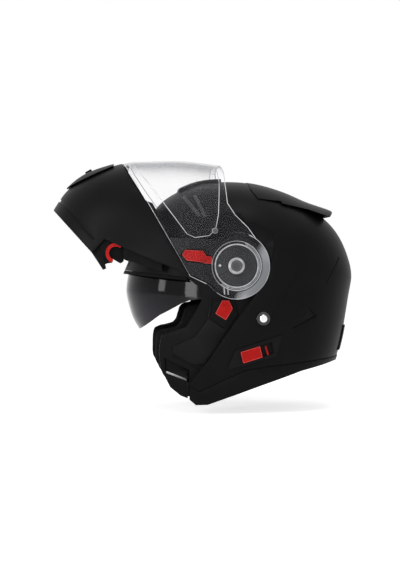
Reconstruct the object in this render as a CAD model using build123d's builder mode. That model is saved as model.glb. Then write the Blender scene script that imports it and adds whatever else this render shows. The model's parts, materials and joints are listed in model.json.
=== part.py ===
"""Modular motorcycle helmet, in millimetres, in the attitude in which it is worn.

The origin is the middle of the pivot axis that the chin bar turns on, -X is the front, -Y is the
wearer's left and +Z is up. The chin bar and the clear visor are raised and the sun visor is lowered.
Outlines are drawn in the side view, as shares of the head radius, from the pivot axis.
"""
import os
from math import cos, radians, sin

from build123d import *

# Driving sizes of the whole helmet
head_radius = 100.0
shell_half_width = 126.0
shell_wall = 4.0
flat_half_width = 109.0
cheek_recess = 9.0
fit = 0.3
overrun = 400.0
skin_gap = 0.2

# Shares that set how full the nested forms are, and where their sections stand
shell_fullness_share = 2.4
visor_fullness_share = 3.0
cavity_fullness_share = 2.3
cavity_half_width = 84.0
section_turns = (-83, -77, -67, -53, -36, -18, 0, 18, 36, 53, 67, 77, 83)

# Outlines of the forms: an angle from the rear, upwards, and the reach there as a share
shell_shares = (
    (-8, 1.62), (-20, 1.645), (-32, 1.75), (-45, 1.92), (-60, 2.16), (-75, 2.42), (-90, 2.60),
    (-105, 2.65), (-120, 2.50), (-135, 2.22), (-150, 1.88), (-165, 1.58), (-178, 1.385),
    (172, 1.297), (164, 1.25), (150, 1.23), (137, 1.23), (124, 1.19), (110, 1.155), (95, 1.115),
    (80, 1.115), (65, 1.135), (50, 1.19), (38, 1.275), (26, 1.40), (16, 1.49), (5, 1.565),
)
spoiler_shares = (
    (-8, 1.60), (-20, 1.62), (-32, 1.72), (-45, 1.90), (-60, 2.14), (-75, 2.40), (-90, 2.58),
    (-105, 2.63), (-120, 2.48), (-135, 2.20), (-150, 1.86), (-165, 1.56), (-178, 1.36),
    (172, 1.24), (160, 1.17), (148, 1.165), (137, 1.21), (124, 1.17), (110, 1.13), (95, 1.10),
    (80, 1.12), (65, 1.155), (50, 1.23), (41, 1.305), (32, 1.455), (24, 1.60), (12, 1.62),
)
chin_shares = (
    (128, 1.80), (136.8, 1.965), (142, 2.09), (148, 2.24), (154, 2.345), (158.3, 2.398), (162.5, 2.438),
    (170, 2.55), (180, 2.63), (195, 2.62), (210, 2.50), (235, 2.20), (265, 1.95), (295, 1.75),
    (325, 1.60), (355, 1.50), (25, 1.42), (55, 1.40), (80, 1.42), (100, 1.50), (116, 1.63),
)
visor_shares = (
    (90, 1.285), (97, 1.33), (102.7, 1.375), (108.3, 1.432), (113.7, 1.50), (121.7, 1.62), (128.8, 1.757),
    (135.8, 1.933), (143, 2.03), (150, 2.09), (160, 2.12), (175, 2.10), (190, 2.00), (210, 1.85),
    (240, 1.65), (270, 1.50), (300, 1.40), (330, 1.35), (0, 1.30), (25, 1.27), (50, 1.25), (72, 1.25),
)
cavity_shares = (
    (0, 1.20), (-20, 1.20), (-40, 1.30), (-60, 1.75), (-75, 2.30), (-90, 2.70), (-110, 2.75), (-130, 2.60),
    (-150, 2.00), (-165, 1.45), (-178, 1.02), (168, 0.95), (150, 0.90), (130, 0.85), (110, 0.81),
    (90, 0.81), (70, 0.83), (50, 0.90), (30, 1.03), (15, 1.13),
)

# Side-view outlines of the shell, as shares of the head radius
face_opening_shares = (
    (-3.0, -0.05), (-1.45, -0.05), (-0.62, -0.14), (-0.46, -0.27), (-0.41, -0.39), (-0.52, -0.60),
    (-0.63, -0.77), (-0.935, -0.875), (-0.965, -1.07), (-0.945, -1.29), (-0.895, -1.395),
    (-0.82, -1.54), (-0.69, -1.645), (-0.60, -1.68), (-0.59, -1.50), (-0.466, -1.588), (-0.115, -1.42),
    (0.116, -1.315), (0.40, -1.27), (1.00, -1.21), (1.70, -1.14), (3.0, -1.14), (3.0, -4.0), (-3.0, -4.0),
)
rim_shares = (
    (-0.583, -1.508), (-0.466, -1.592), (-0.115, -1.424), (0.116, -1.319), (0.40, -1.274), (1.00, -1.214),
    (1.70, -1.144), (1.70, -1.215), (1.31, -1.235), (0.85, -1.335), (0.33, -1.51), (-0.20, -1.70),
    (-0.35, -1.755), (-0.50, -1.76), (-0.58, -1.69),
)
front_flat_shares = (
    (0.30, 0.31), (0.06, 0.62), (0.06, 1.40), (-3.0, 1.40), (-3.0, -3.0), (-0.585, -3.0),
    (-0.585, -1.488), (-0.334, -1.175), (-0.134, -0.875), (0.291, -0.288),
)
cheek_shares = (
    (0.291, -0.288), (-0.134, -0.875), (-0.334, -1.175), (-0.585, -1.488), (-0.585, -3.0), (-3.0, -3.0),
    (-3.0, -0.20), (-0.2, -0.20),
)
disc_recess_share = 0.425
tilt_relief_shares = (
    (0.04, 0.60), (0.06, 0.68), (0.30, 0.62), (0.44, 0.53), (0.475, 0.45), (0.475, 0.22), (0.455, 0.12),
    (0.43, 0.03), (0.30, 0.20),
)
tilt_relief_half_width = 115.0

# Shell side details, as side-view shares
scoop_shares = ((0.93, -0.53), (0.70, -0.80), (1.035, -0.635))
slider_panel_shares = ((-0.02, -1.06), (0.59, -0.86), (0.515, -1.14), (-0.12, -1.315))
slider_slot_shares = ((0.035, -1.075), (0.445, -0.955), (0.475, -1.10), (0.075, -1.235))
slider_shares = ((0.055, -1.082), (0.29, -1.012), (0.325, -1.145), (0.088, -1.218))
rear_vent_shares = ((1.00, -0.775), (1.80, -0.775), (1.80, -1.10), (1.00, -1.10))
spoiler_side_shares = (
    (0.20, 1.40), (0.22, 0.99), (0.30, 0.86), (0.60, 0.83), (0.62, 0.80), (0.95, 0.735), (1.254, 0.632),
    (1.318, 0.70), (1.322, 0.745), (1.45, 1.40),
)
crown_vent_shares = ((-0.74, 0.70), (-0.60, 1.40), (-0.10, 1.40), (-0.16, 0.88))
crown_slot_shares = ((-0.42, 0.80), (-0.50, 1.30), (-0.45, 1.30), (-0.34, 0.80))
gasket_shares = ((-1.45, -0.053), (-0.625, -0.143), (-0.605, -0.185), (-1.45, -0.098))

# Panels and fittings on the shell
trim_proud = 0.8
panel_proud = 0.9
slider_pocket = 2.2
slider_proud = 2.0
insert_inset = 1.5
vent_proud = 2.0
vent_half_width = 44.0
vent_slot = 5.0
vent_slots = 4
vent_bar = 4.0
crown_vent_proud = 4.0
crown_vent_half_width = 34.0
crown_rib_pitch = 15.0
crown_slider_length = 18.0
crown_slider_width = 12.0
crown_slider_height = 3.0
crown_slider_travel = 8.0
crown_slider_x_share, crown_slider_z_share = -0.395, 1.085
crown_slider_lean_share = -0.218
crown_slider_round = 1.0
rear_slot_z = -104.0
rear_slot_height = 18.0
gasket_back = 0.8

# Strap fixing
rivet_x_share, rivet_z_share = 0.335, -0.66
rivet_washer_radius = 8.4
rivet_washer_wall = 1.5
rivet_stud_radius = 4.9
rivet_stud_height = 2.4
rivet_shank_radius = 3.0
rivet_flat_half_width = 121.2
hanger_half_width = 113.0
hanger_radius = 11.0
hanger_wall = 1.5
strap_width = 22.0
strap_wall = 1.8
strap_window_shares = ((0.19, -0.52), (0.48, -0.52), (0.48, -1.40), (0.19, -1.40))
strap_drop_shares = ((1.12, -0.76), (0.98, -0.93), (0.74, -1.15), (0.42, -1.36))
strap_end_shares = ((0.18, -1.43), (0.268, -1.43))
strap_bend = 9.0
tongue_length = 34.0
tongue_overlap = 30.0
tongue_wall = 1.6
buckle_length = 40.0
buckle_height = 8.0
buckle_lip = 3.0
buckle_wall = 2.0
lever_length = 26.0
lever_height = 3.0
lever_pin_radius = 0.9
lever_pin_inset = 2.2
lever_end_gap = 1.0

# Soft liner
crown_pad_wall = 6.0
crown_pad_shares = ((-1.20, 0.35), (-0.90, 1.40), (0.90, 1.40), (1.30, 0.30), (0.40, 0.42))
cheek_pad_inner = 61.0
cheek_pad_reach = 70.0
cheek_pad_shares = (
    (-1.03, -0.83), (-0.74, -0.73), (-0.62, -0.48), (0.02, -0.42), (0.12, -0.80), (0.10, -1.20),
    (-0.10, -1.47), (-0.36, -1.66), (-0.66, -1.64), (-0.90, -1.46), (-1.04, -1.20),
)
cheek_pad_soft = 5.0
cheek_pad_corner = 12.0
neck_roll_shares = ((0.56, -1.218), (1.30, -1.143), (1.30, -1.27), (0.90, -1.36), (0.56, -1.42))
neck_roll_wall = 20.0

# Pivot stack, outwards from the flat
base_radius = 37.0
base_wall = 4.6
pin_radius = 6.5
plate_wall = 5.0
plate_radius = 35.0
running_gap = 0.4
ring_radii = ((21.5, 24.0), (12.5, 13.3))
ring_depth = 0.8
hub_radius = 10.1
hub_height = 4.6
hub_socket_radius = 4.6
hub_socket_depth = 2.4
visor_hub_radius = 40.0
visor_ring_radius = 30.5
visor_ring_wall = 1.6
visor_ring_proud = 0.7
visor_wall = 2.2
visor_half_width = 122.6
bore_gap = 0.05

# Chin bar, raised, side-view shares
chin_half_width = 126.4
chin_wall = 4.0
chin_side_shares = (
    (-1.43, 1.34), (-1.43, 2.2), (-3.0, 2.2), (-3.0, 1.60), (-2.325, 0.732), (-1.81, 0.165), (-1.65, 0.34),
    (-1.51, 0.275), (-1.21, 0.14), (-0.735, -0.05), (-0.60, -0.105),
)
lip_groove = 1.6
lip_groove_shares = ((-2.30, 0.90), (-2.275, 0.925), (-1.76, 0.355), (-1.785, 0.33))
chin_vent_shares = ((-2.15, 1.02), (-2.60, 1.60), (-1.40, 2.10), (-1.54, 1.30))
chin_vent_proud = 3.0
chin_vent_half_width = 50.0
chin_vent_slider_length = 26.0
chin_vent_slider_width = 9.0
chin_vent_slider_height = 4.0
chin_vent_travel = 7.0
chin_slider_x_share, chin_slider_z_share = -1.878, 1.197
chin_slider_lean_share = -0.56
chin_liner_wall = 18.0
chin_liner_shares = (
    (-1.50, 1.20), (-1.60, 1.9), (-3.0, 2.1), (-3.0, 1.6), (-2.26, 0.75), (-1.99, 0.46), (-1.62, 0.86),
)
chin_liner_half_width = 92.0
seal_inset = 5.2
seal_wall = 1.8
seal_shares = (
    (-1.84, 0.21), (-1.67, -0.05), (-1.635, -0.035), (-1.655, 0.05), (-1.67, 0.13), (-1.665, 0.25),
    (-1.60, 0.315), (-1.42, 0.315), (-1.41, 0.10), (-1.23, 0.025), (-0.93, -0.075), (-0.94, 0.08),
    (-1.40, 0.36), (-1.62, 0.42), (-1.80, 0.40),
)
arm_shares = (
    (-1.00, 0.36), (-0.20, 0.33), (0.0, 0.0), (-0.10, -0.33), (-0.36, -0.20), (-0.66, -0.07), (-0.90, 0.12),
)
arm_lift = 1.4
arm_step_share = 0.74

# Visor, raised, side-view shares
visor_side_shares = (
    (-1.415, 1.34), (-1.415, 2.0), (-0.158, 2.0), (-0.158, 1.30), (-0.13, 1.20), (-0.13, 1.04), (-0.11, 0.79),
    (-0.014, 0.638), (0.14, 0.485), (0.29, 0.275), (0.0, 0.0), (-0.02, -0.40), (-0.13, -0.395),
    (-0.38, -0.223), (-0.585, -0.125),
)
visor_gasket_shares = ((-1.47, 1.30), (-1.36, 1.345), (-0.866, 0.465), (-0.943, 0.40))
gasket_inset = 2.7
visor_gasket_wall = 4.0
insert_shares = (
    (-1.30, 1.32), (-1.30, 2.0), (-0.24, 2.0), (-0.22, 1.29), (-0.20, 1.06), (-0.225, 0.64), (-0.26, 0.47),
    (-0.34, 0.38), (-0.52, 0.355), (-0.62, 0.40),
)
insert_wall = 0.6
insert_gap = 0.4
insert_pin_radius = 3.2
insert_pin_x_share, insert_pin_z_share = -0.27, 0.44

# Visor release lever, in a window of the hinge plate
lever_shares = (
    (-0.68, 0.14), (-0.64, 0.20), (-0.42, 0.185), (-0.385, 0.13), (-0.31, 0.11), (-0.31, 0.03),
    (-0.39, 0.03), (-0.44, 0.05), (-0.62, 0.07),
)
lever_window = 2.0
release_lever_wall = 3.6

# Latch hook and its striker
hook_x_share, hook_z_share = -1.51, 0.16
hook_radius = 10.6
hook_start_deg = 60
hook_sweep_deg = 190
hook_wall = 4.4
hook_width = 2.9
hook_inner = 101.5
hook_pin_radius = 2.2
hook_pin_reach = 1.3
hook_relief_radius = 16.0
hook_relief_outer = 104.9
hook_track_shares = (
    (-0.78, -1.10), (-0.66, -1.20), (-0.50, -1.265), (-0.43, -1.33), (-0.44, -1.46), (-0.50, -1.57),
    (-0.62, -1.57), (-0.75, -1.50), (-0.80, -1.36), (-0.84, -1.24),
)
hook_track_inner = 100.9
hook_track_outer = 104.9
striker_x_share, striker_z_share = -0.62, -1.402
striker_radius = 2.5
striker_plate_shares = ((-0.87, -1.33), (-0.612, -1.432), (-0.612, -1.457), (-0.875, -1.354))
striker_shares = ((-0.90, -1.16), (-0.58, -1.315), (-0.585, -1.47), (-0.88, -1.36))
striker_inner = 88.0
striker_outer = 104.0
striker_plate_outer = 94.0
striker_base_wall = 1.5

# Open lock, a slider in a recess of the cheek panel
cheek_panel_shares = (
    (-0.32, -0.41), (-0.36, -0.61), (-0.365, -0.68), (-0.52, -0.89), (-0.80, -1.015), (-0.80, -1.10),
    (-0.565, -1.245), (-0.40, -1.235), (-0.17, -0.90), (0.02, -0.62), (-0.02, -0.42),
)
lock_window_shares = ((-0.30, -0.43), (-0.335, -0.66), (-0.15, -0.79), (-0.015, -0.60), (-0.04, -0.43))
lock_shares = ((-0.255, -0.598), (-0.171, -0.438), (-0.091, -0.438), (-0.046, -0.538), (-0.13, -0.675))
lock_wall = 3.4

# Sun visor, on its own pivot: its outline is an angle and a reach from that pivot
sun_x_share, sun_z_share = -0.18, -0.38
sun_shares = (
    (203.8, 1.115), (215, 1.08), (240, 1.03), (270, 1.0), (300, 1.0), (330, 1.0), (0, 1.0), (30, 1.03),
    (60, 1.08), (90, 1.14), (110, 1.182), (130, 1.194), (150, 1.197), (162, 1.195), (170.9, 1.19),
    (178.2, 1.187), (186.7, 1.161), (196.6, 1.14),
)
sun_half_width = 98.0
sun_fullness_share = 2.4
sun_wall = 2.2
sun_slot = 1.0
sun_slot_wall = 10.5
sun_side_shares = (
    (-1.50, -0.07), (-0.60, -0.07), (-0.45, -0.20), (-0.17, -0.30), (-0.10, -0.38), (-0.17, -0.46),
    (-0.45, -0.42), (-0.56, -0.43), (-0.67, -0.472), (-0.955, -0.632), (-1.20, -0.829), (-1.60, -1.05),
)
sun_slot_shares = (
    (-0.02, -0.58), (0.02, -0.20), (-0.35, 0.62), (-0.80, 0.86), (-1.60, 0.60), (-1.60, -1.20), (-0.50, -0.58),
)
sun_pin_radius = 3.0
sun_pin_head = 5.0
sun_pin_head_wall = 2.0
sun_screw_grip = 6.0

# Chin release button, under the chin bar
button_length = 34.0
button_width = 12.0
button_height = 9.0
button_travel = 4.0
button_x_share, button_z_share = -2.195, 0.682
button_lean_share = -1.07


def side(y=0.0):
    """The side-view plane at a distance y from the middle."""
    return Plane(origin=(0, y, 0), x_dir=(1, 0, 0), z_dir=(0, -1, 0))


def placed(shares):
    """Side-view shares as places in millimetres."""
    return [(x * head_radius, z * head_radius) for x, z in shares]


def form(shares, half_width, fullness_share, inset=0.0, centre_shares=(0, 0)):
    """A closed form through scaled copies of one outline, drawn in by an inset."""
    centre_x, centre_z = [share * head_radius for share in centre_shares]
    with BuildPart() as made:
        for turn in section_turns:
            across = sin(radians(turn))
            scale = (1 - abs(across) ** fullness_share) ** (1 / fullness_share)
            with BuildSketch(side(across * (half_width - inset))):
                with BuildLine():
                    reaches = [(radians(a), (share * head_radius - inset) * scale) for a, share in shares]
                    Spline(*[(centre_x + r * cos(a), centre_z + r * sin(a)) for a, r in reaches],
                           periodic=True)
                make_face()
        loft()
    return made.part


def slab(shares, inner=0.0, outer=overrun, grow=0.0, rounding=0.0):
    """A side-view outline as a slab on both sides, from inner to outer distance."""
    with BuildPart() as made:
        for end in (-1, 1):
            with BuildSketch(side(end * inner)):
                Polygon(*placed(shares), align=None)
                if grow:
                    offset(amount=grow, kind=Kind.INTERSECTION)
                if rounding:
                    fillet(vertices(), rounding)
            extrude(amount=-end * (outer - inner))
    return made.part


def rest(x_share, z_share, lean_share):
    """The plane that a slider rests on, just clear of the form's crest, leaning in the side view."""
    crest = Plane(origin=(x_share * head_radius, 0, z_share * head_radius), x_dir=(0, 1, 0),
                  z_dir=(lean_share, 0, 1))
    return crest.offset(skin_gap + fit)


def half(whole, end):
    """The half of a piece on one side: -1 is the wearer's left, 1 the right."""
    with BuildPart() as made:
        add(whole)
        with Locations((0, end * overrun, 0)):
            Box(overrun + overrun, overrun + overrun, overrun + overrun, mode=Mode.INTERSECT)
    return made.part


def disc(x_share, z_share, radius, inner, outer):
    """A pair of discs about a side-view place, from inner to outer distance."""
    with BuildPart() as made:
        for end in (-1, 1):
            with BuildSketch(side(end * inner)):
                with Locations((x_share * head_radius, z_share * head_radius)):
                    Circle(radius)
            extrude(amount=-end * (outer - inner))
    return made.part


def sun_form(inset=0.0):
    """The outer form of the lowered sun visor about its own pivot, drawn in by an inset."""
    return form(sun_shares, sun_half_width, sun_fullness_share, inset, (sun_x_share, sun_z_share))


def helmet_form(inset):
    """The outer form with its flat sides, round pivot recesses and stepped cheeks."""
    with BuildPart() as made:
        add(form(shell_shares, shell_half_width, shell_fullness_share, inset))
        add(slab(front_flat_shares, flat_half_width - inset, grow=inset), mode=Mode.SUBTRACT)
        pocket = disc(0, 0, disc_recess_share * head_radius + inset, flat_half_width - inset, overrun)
        add(pocket, mode=Mode.SUBTRACT)
        add(slab(tilt_relief_shares, tilt_relief_half_width - inset, grow=inset), mode=Mode.SUBTRACT)
        cheeks = slab(cheek_shares, grow=inset)
        inner = form(shell_shares, shell_half_width, shell_fullness_share, cheek_recess + inset)
        add(cheeks - inner, mode=Mode.SUBTRACT)
    return made.part


def layer(outer, inner, keep):
    """What lies inside the outer form, outside the inner one, where there is one, and within a slab."""
    with BuildPart() as made:
        add(outer)
        add(keep, mode=Mode.INTERSECT)
        if inner:
            add(inner, mode=Mode.SUBTRACT)
    return made.part


def write(piece, name):
    """Labels a piece and writes it to its own file."""
    piece.label = name
    export_step(piece, f"parts/{name}.step")


def shell_form(inset=0.0):
    """The plain outer form of the shell, drawn in by an inset."""
    return form(shell_shares, shell_half_width, shell_fullness_share, inset)


def chin_form(inset=0.0):
    """The outer form of the raised chin bar, drawn in by an inset."""
    return form(chin_shares, chin_half_width, shell_fullness_share, inset)


def visor_form(inset=0.0):
    """The outer form of the raised visor, drawn in by an inset."""
    return form(visor_shares, visor_half_width, visor_fullness_share, inset)


def cavity_form(inset=0.0):
    """The space for the head and its comfort liner, drawn in by an inset."""
    return form(cavity_shares, cavity_half_width, cavity_fullness_share, inset)


os.makedirs("parts", exist_ok=True)
chin_full = chin_form()
visor_full = visor_form()
cavity = cavity_form()
shell_layer = helmet_form(0) - helmet_form(shell_wall)
rivet_hole = disc(rivet_x_share, rivet_z_share, rivet_shank_radius, 0, overrun)
hook_track = slab(hook_track_shares, hook_track_inner, hook_track_outer)

# Outer shell
with BuildPart() as outer_shell:
    add(shell_layer)
    add(slab(face_opening_shares), mode=Mode.SUBTRACT)
    add(slab(scoop_shares), mode=Mode.SUBTRACT)
    add(half(slab(slider_slot_shares) - shell_form(slider_pocket), -1), mode=Mode.SUBTRACT)
    add(slab(striker_shares, striker_inner), mode=Mode.SUBTRACT)
    add(hook_track, mode=Mode.SUBTRACT)
    add(disc(rivet_x_share, rivet_z_share, rivet_washer_radius + fit, rivet_flat_half_width, overrun),
        mode=Mode.SUBTRACT)
    add(rivet_hole, mode=Mode.SUBTRACT)
write(outer_shell.part, "outer_shell")

# Brow gasket, along the upper edge of the eye port
write(layer(shell_layer, None, slab(gasket_shares)), "brow_gasket")

# Base trim round the lower rim
write(layer(shell_form(-trim_proud), shell_form(shell_wall), slab(rim_shares) - hook_track), "base_trim")

# Rear spoiler, a thin moulding that rises to a lip
spoiler_form = form(spoiler_shares, shell_half_width + skin_gap, shell_fullness_share)
write(layer(spoiler_form, shell_form(-skin_gap), slab(spoiler_side_shares)), "rear_spoiler")

# Crown vent moulding with slanted ribs, and its slider
crown_keep = slab(crown_vent_shares, 0, crown_vent_half_width)
crown_rest = rest(crown_slider_x_share, crown_slider_z_share, crown_slider_lean_share)
with BuildPart() as crown_vent:
    add(layer(shell_form(-crown_vent_proud), shell_form(-skin_gap), crown_keep))
    for step in (0, 1):
        with Locations((step * crown_rib_pitch, 0, 0)):
            ribs = slab(crown_slot_shares, crown_slider_width, crown_vent_half_width - vent_bar)
            add(ribs - shell_form(-vent_proud), mode=Mode.SUBTRACT)
    with Locations(crown_rest):
        Box(crown_slider_width + fit + fit, crown_slider_length + crown_slider_travel + fit + fit,
            overrun, mode=Mode.SUBTRACT)
write(crown_vent.part, "crown_vent")
with BuildPart() as crown_vent_slider:
    with Locations(crown_rest):
        with Locations((0, crown_slider_travel / 2, 0)):
            Box(crown_slider_width, crown_slider_length, crown_slider_height,
                align=(Align.CENTER, Align.CENTER, Align.MIN))
    fillet(crown_vent_slider.faces().sort_by(Axis.Z)[-1].edges(), crown_slider_round)
write(crown_vent_slider.part, "crown_vent_slider")

# Exhaust vent low at the rear, with upright slots
rear_keep = slab(rear_vent_shares, 0, vent_half_width)
with BuildPart() as rear_vent:
    add(layer(shell_form(-vent_proud), shell_form(-skin_gap), rear_keep))
    with BuildSketch(Plane.XY.offset(rear_slot_z)):
        with GridLocations(0, vent_slot + vent_bar, 1, vent_slots):
            SlotOverall(overrun, vent_slot)
    extrude(amount=rear_slot_height, mode=Mode.SUBTRACT)
write(rear_vent.part, "rear_vent")

# Side scoops, let into the shell
scoops = layer(shell_form(insert_inset), shell_form(shell_wall), slab(scoop_shares, grow=-skin_gap))

# Slider panel on the wearer's left, with the slot for the sun visor slider
with BuildPart() as slider_panel:
    add(layer(shell_form(-panel_proud), shell_form(-skin_gap / 2), half(slab(slider_panel_shares), -1)))
    add(slab(slider_slot_shares), mode=Mode.SUBTRACT)
write(slider_panel.part, "slider_panel")
slider = layer(shell_form(-slider_proud), shell_form(slider_pocket - fit), half(slab(slider_shares), -1))
write(slider, "sun_visor_slider")

# Strap rivets: a washer let into the shell, a domed stud and a shank
with BuildPart() as rivets:
    add(disc(rivet_x_share, rivet_z_share, rivet_washer_radius, rivet_flat_half_width,
             rivet_flat_half_width + rivet_washer_wall))
    add(disc(rivet_x_share, rivet_z_share, rivet_stud_radius, rivet_flat_half_width,
             rivet_flat_half_width + rivet_washer_wall + rivet_stud_height))
    add(disc(rivet_x_share, rivet_z_share, rivet_shank_radius - bore_gap, hanger_half_width,
             rivet_flat_half_width))
    domes = rivets.edges().filter_by(GeomType.CIRCLE).group_by(SortBy.RADIUS)[1]
    fillet([edge for edge in domes if abs(edge.center().Y) > rivet_flat_half_width + rivet_washer_wall],
           rivet_stud_height / 2)

# Expanded foam impact liner, with a slot for the sun visor and bores for its screws
sun_place = (sun_x_share, sun_z_share)
with BuildPart() as impact_liner:
    add(helmet_form(shell_wall + fit))
    add(cavity, mode=Mode.SUBTRACT)
    add(slab(face_opening_shares, grow=shell_wall), mode=Mode.SUBTRACT)
    add(slab(rim_shares, grow=shell_wall), mode=Mode.SUBTRACT)
    add(layer(sun_form(-sun_slot), sun_form(sun_slot_wall), slab(sun_slot_shares)), mode=Mode.SUBTRACT)
    add(slab(strap_window_shares, cavity_half_width / 2), mode=Mode.SUBTRACT)
    add(slab(striker_shares, striker_inner, grow=fit), mode=Mode.SUBTRACT)
    add(slab(hook_track_shares, hook_track_inner - fit, grow=fit), mode=Mode.SUBTRACT)
    add(disc(*sun_place, sun_pin_radius + bore_gap, sun_half_width, sun_half_width + sun_screw_grip),
        mode=Mode.SUBTRACT)
write(impact_liner.part, "impact_liner")

# Crown pad and cheek pads, with soft rounded edges, and the neck roll
crown_keep = slab(crown_pad_shares)
write(layer(cavity_form(fit), cavity_form(fit + crown_pad_wall), crown_keep), "crown_pad")
with BuildPart() as cheek_pads:
    add(slab(cheek_pad_shares, cheek_pad_inner, overrun, rounding=cheek_pad_corner))
    fillet(cheek_pads.faces().filter_by(Axis.Y).filter_by_position(Axis.Y, -cheek_pad_reach,
           cheek_pad_reach).edges(), cheek_pad_soft)
    add(cavity_form(fit), mode=Mode.INTERSECT)
neck_roll = layer(cavity_form(-neck_roll_wall), cavity_form(fit), slab(neck_roll_shares))
write(neck_roll, "neck_roll")

# Strap hangers on the rivets, inside the shell
hangers = disc(rivet_x_share, rivet_z_share, hanger_radius, hanger_half_width,
               hanger_half_width + hanger_wall)
hangers -= rivet_hole

# Straps, flat webbing from each hanger down to the buckle
with BuildPart() as straps:
    for end, strap_end in zip((-1, 1), strap_end_shares):
        route = placed([*strap_drop_shares, strap_end])
        with BuildSketch(Plane.YZ.offset(rivet_x_share * head_radius - strap_width / 2)):
            with BuildLine():
                FilletPolyline(*[(end * y, z) for y, z in route], radius=strap_bend)
            trace(line_width=strap_wall)
        extrude(amount=strap_width)

# Ratchet buckle at the end of the left strap: an open channel, a lever and its pin
buckle_y, buckle_z = placed(strap_end_shares)[0]
buckle_low = Plane(origin=(rivet_x_share * head_radius, -buckle_y, buckle_z), x_dir=(0, 1, 0), z_dir=(0, 0, -1))
lever_start = fit + buckle_wall + lever_end_gap
lever_pin = Plane(origin=buckle_low.from_local_coords((lever_start + lever_pin_inset, 0,
                  (buckle_height - lever_height) / 2)), z_dir=(1, 0, 0))
with BuildPart() as buckle_body:
    with BuildSketch(buckle_low.offset(-buckle_height / 2)):
        with Locations((buckle_length / 2 + fit, 0)):
            RectangleRounded(buckle_length, strap_width + buckle_lip + buckle_lip, buckle_lip)
    extrude(amount=buckle_height)
    with BuildSketch(buckle_low.offset(-buckle_height / 2 + buckle_wall)):
        with Locations((buckle_length / 2 + fit + buckle_wall, 0)):
            Rectangle(buckle_length, strap_width + fit + fit)
    extrude(amount=buckle_height, mode=Mode.SUBTRACT)
    with Locations(lever_pin):
        Cylinder(lever_pin_radius, strap_width + buckle_lip)
write(buckle_body.part, "buckle_body")
with BuildPart() as buckle_lever:
    with BuildSketch(buckle_low.offset(buckle_height / 2 - lever_height)):
        with Locations((lever_start + lever_length / 2, 0)):
            RectangleRounded(lever_length, strap_width - fit, buckle_lip / 2)
    extrude(amount=lever_height)
    with Locations(lever_pin):
        Cylinder(lever_pin_radius + bore_gap, strap_width + buckle_lip, mode=Mode.SUBTRACT)
write(buckle_lever.part, "buckle_lever")
with BuildPart() as strap_tongue:
    with BuildSketch(buckle_low.offset(-buckle_height / 2 + buckle_wall + fit)):
        with Locations((buckle_length - tongue_overlap + tongue_length / 2, 0)):
            Rectangle(tongue_length, strap_width - buckle_lip)
    extrude(amount=tongue_wall)
write(strap_tongue.part, "strap_tongue")

# Pivot bases: a disc on the flat and the pin that the hinge plate turns on
plate_inner = flat_half_width + base_wall + running_gap
plate_outer = plate_inner + plate_wall
visor_inner = plate_outer + running_gap
hub_outer = visor_inner + hub_height
with BuildPart() as bases:
    add(disc(0, 0, base_radius, flat_half_width, flat_half_width + base_wall))
    add(disc(0, 0, pin_radius, flat_half_width, plate_outer - running_gap))

# Hinge plates: a disc over the base, and an arm that steps inwards under the chin bar's wall
with BuildPart() as plates:
    add(slab(arm_shares, flat_half_width + arm_lift, plate_outer))
    add(disc(0, 0, arm_step_share * head_radius, 0, plate_inner), mode=Mode.SUBTRACT)
    add(chin_form(chin_wall + bore_gap), mode=Mode.INTERSECT)
    add(visor_form(visor_wall + running_gap), mode=Mode.INTERSECT)
    add(disc(0, 0, plate_radius, plate_inner, plate_outer))
    add(disc(0, 0, pin_radius + bore_gap, 0, plate_outer - running_gap), mode=Mode.SUBTRACT)
    add(slab(lever_shares, plate_inner - fit, plate_outer + fit, grow=lever_window), mode=Mode.SUBTRACT)
    for inner, outer in ring_radii:
        groove = disc(0, 0, outer, plate_outer - ring_depth, plate_outer + fit)
        add(groove - disc(0, 0, inner, 0, overrun), mode=Mode.SUBTRACT)
hubs = disc(0, 0, hub_radius, plate_outer, hub_outer)
with BuildPart() as hub_caps:
    add(hubs)
    for end in (-1, 1):
        with BuildSketch(side(end * (hub_outer - hub_socket_depth))):
            RegularPolygon(hub_socket_radius, 6)
        extrude(amount=-end * overrun, mode=Mode.SUBTRACT)

# Visor release levers, red, in the windows of the hinge plates
levers = slab(lever_shares, plate_inner + running_gap, plate_inner + running_gap + release_lever_wall)

# Chin bar shell, cut at the aperture, the lower lip and the rear edge
with BuildPart() as chin_bar_shell:
    add(chin_full)
    add(slab(chin_side_shares), mode=Mode.INTERSECT)
    add(chin_form(chin_wall), mode=Mode.SUBTRACT)
    groove = chin_full - chin_form(lip_groove)
    add(groove & slab(lip_groove_shares), mode=Mode.SUBTRACT)
    add(disc(hook_x_share, hook_z_share, hook_relief_radius, hook_inner, hook_relief_outer), mode=Mode.SUBTRACT)
write(chin_bar_shell.part, "chin_bar_shell")

# Chin vent cover, and the slider in a pocket of it
chin_vent_keep = slab(chin_vent_shares, 0, chin_vent_half_width)
slider_rest = rest(chin_slider_x_share, chin_slider_z_share, chin_slider_lean_share)
with BuildPart() as chin_vent_cover:
    add(layer(chin_form(-chin_vent_proud), chin_form(-skin_gap), chin_vent_keep))
    with Locations(slider_rest):
        Box(chin_vent_slider_length + fit + fit, chin_vent_slider_width + chin_vent_travel + fit + fit,
            overrun, mode=Mode.SUBTRACT)
write(chin_vent_cover.part, "chin_vent_cover")
with BuildPart() as chin_vent_slider:
    with Locations(slider_rest):
        with Locations((0, -chin_vent_travel / 2, 0)):
            Box(chin_vent_slider_length, chin_vent_slider_width, chin_vent_slider_height,
                align=(Align.CENTER, Align.CENTER, Align.MIN))
    fillet(chin_vent_slider.faces().sort_by(Axis.Z)[-1].edges(), crown_slider_round)
write(chin_vent_slider.part, "chin_vent_slider")

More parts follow.
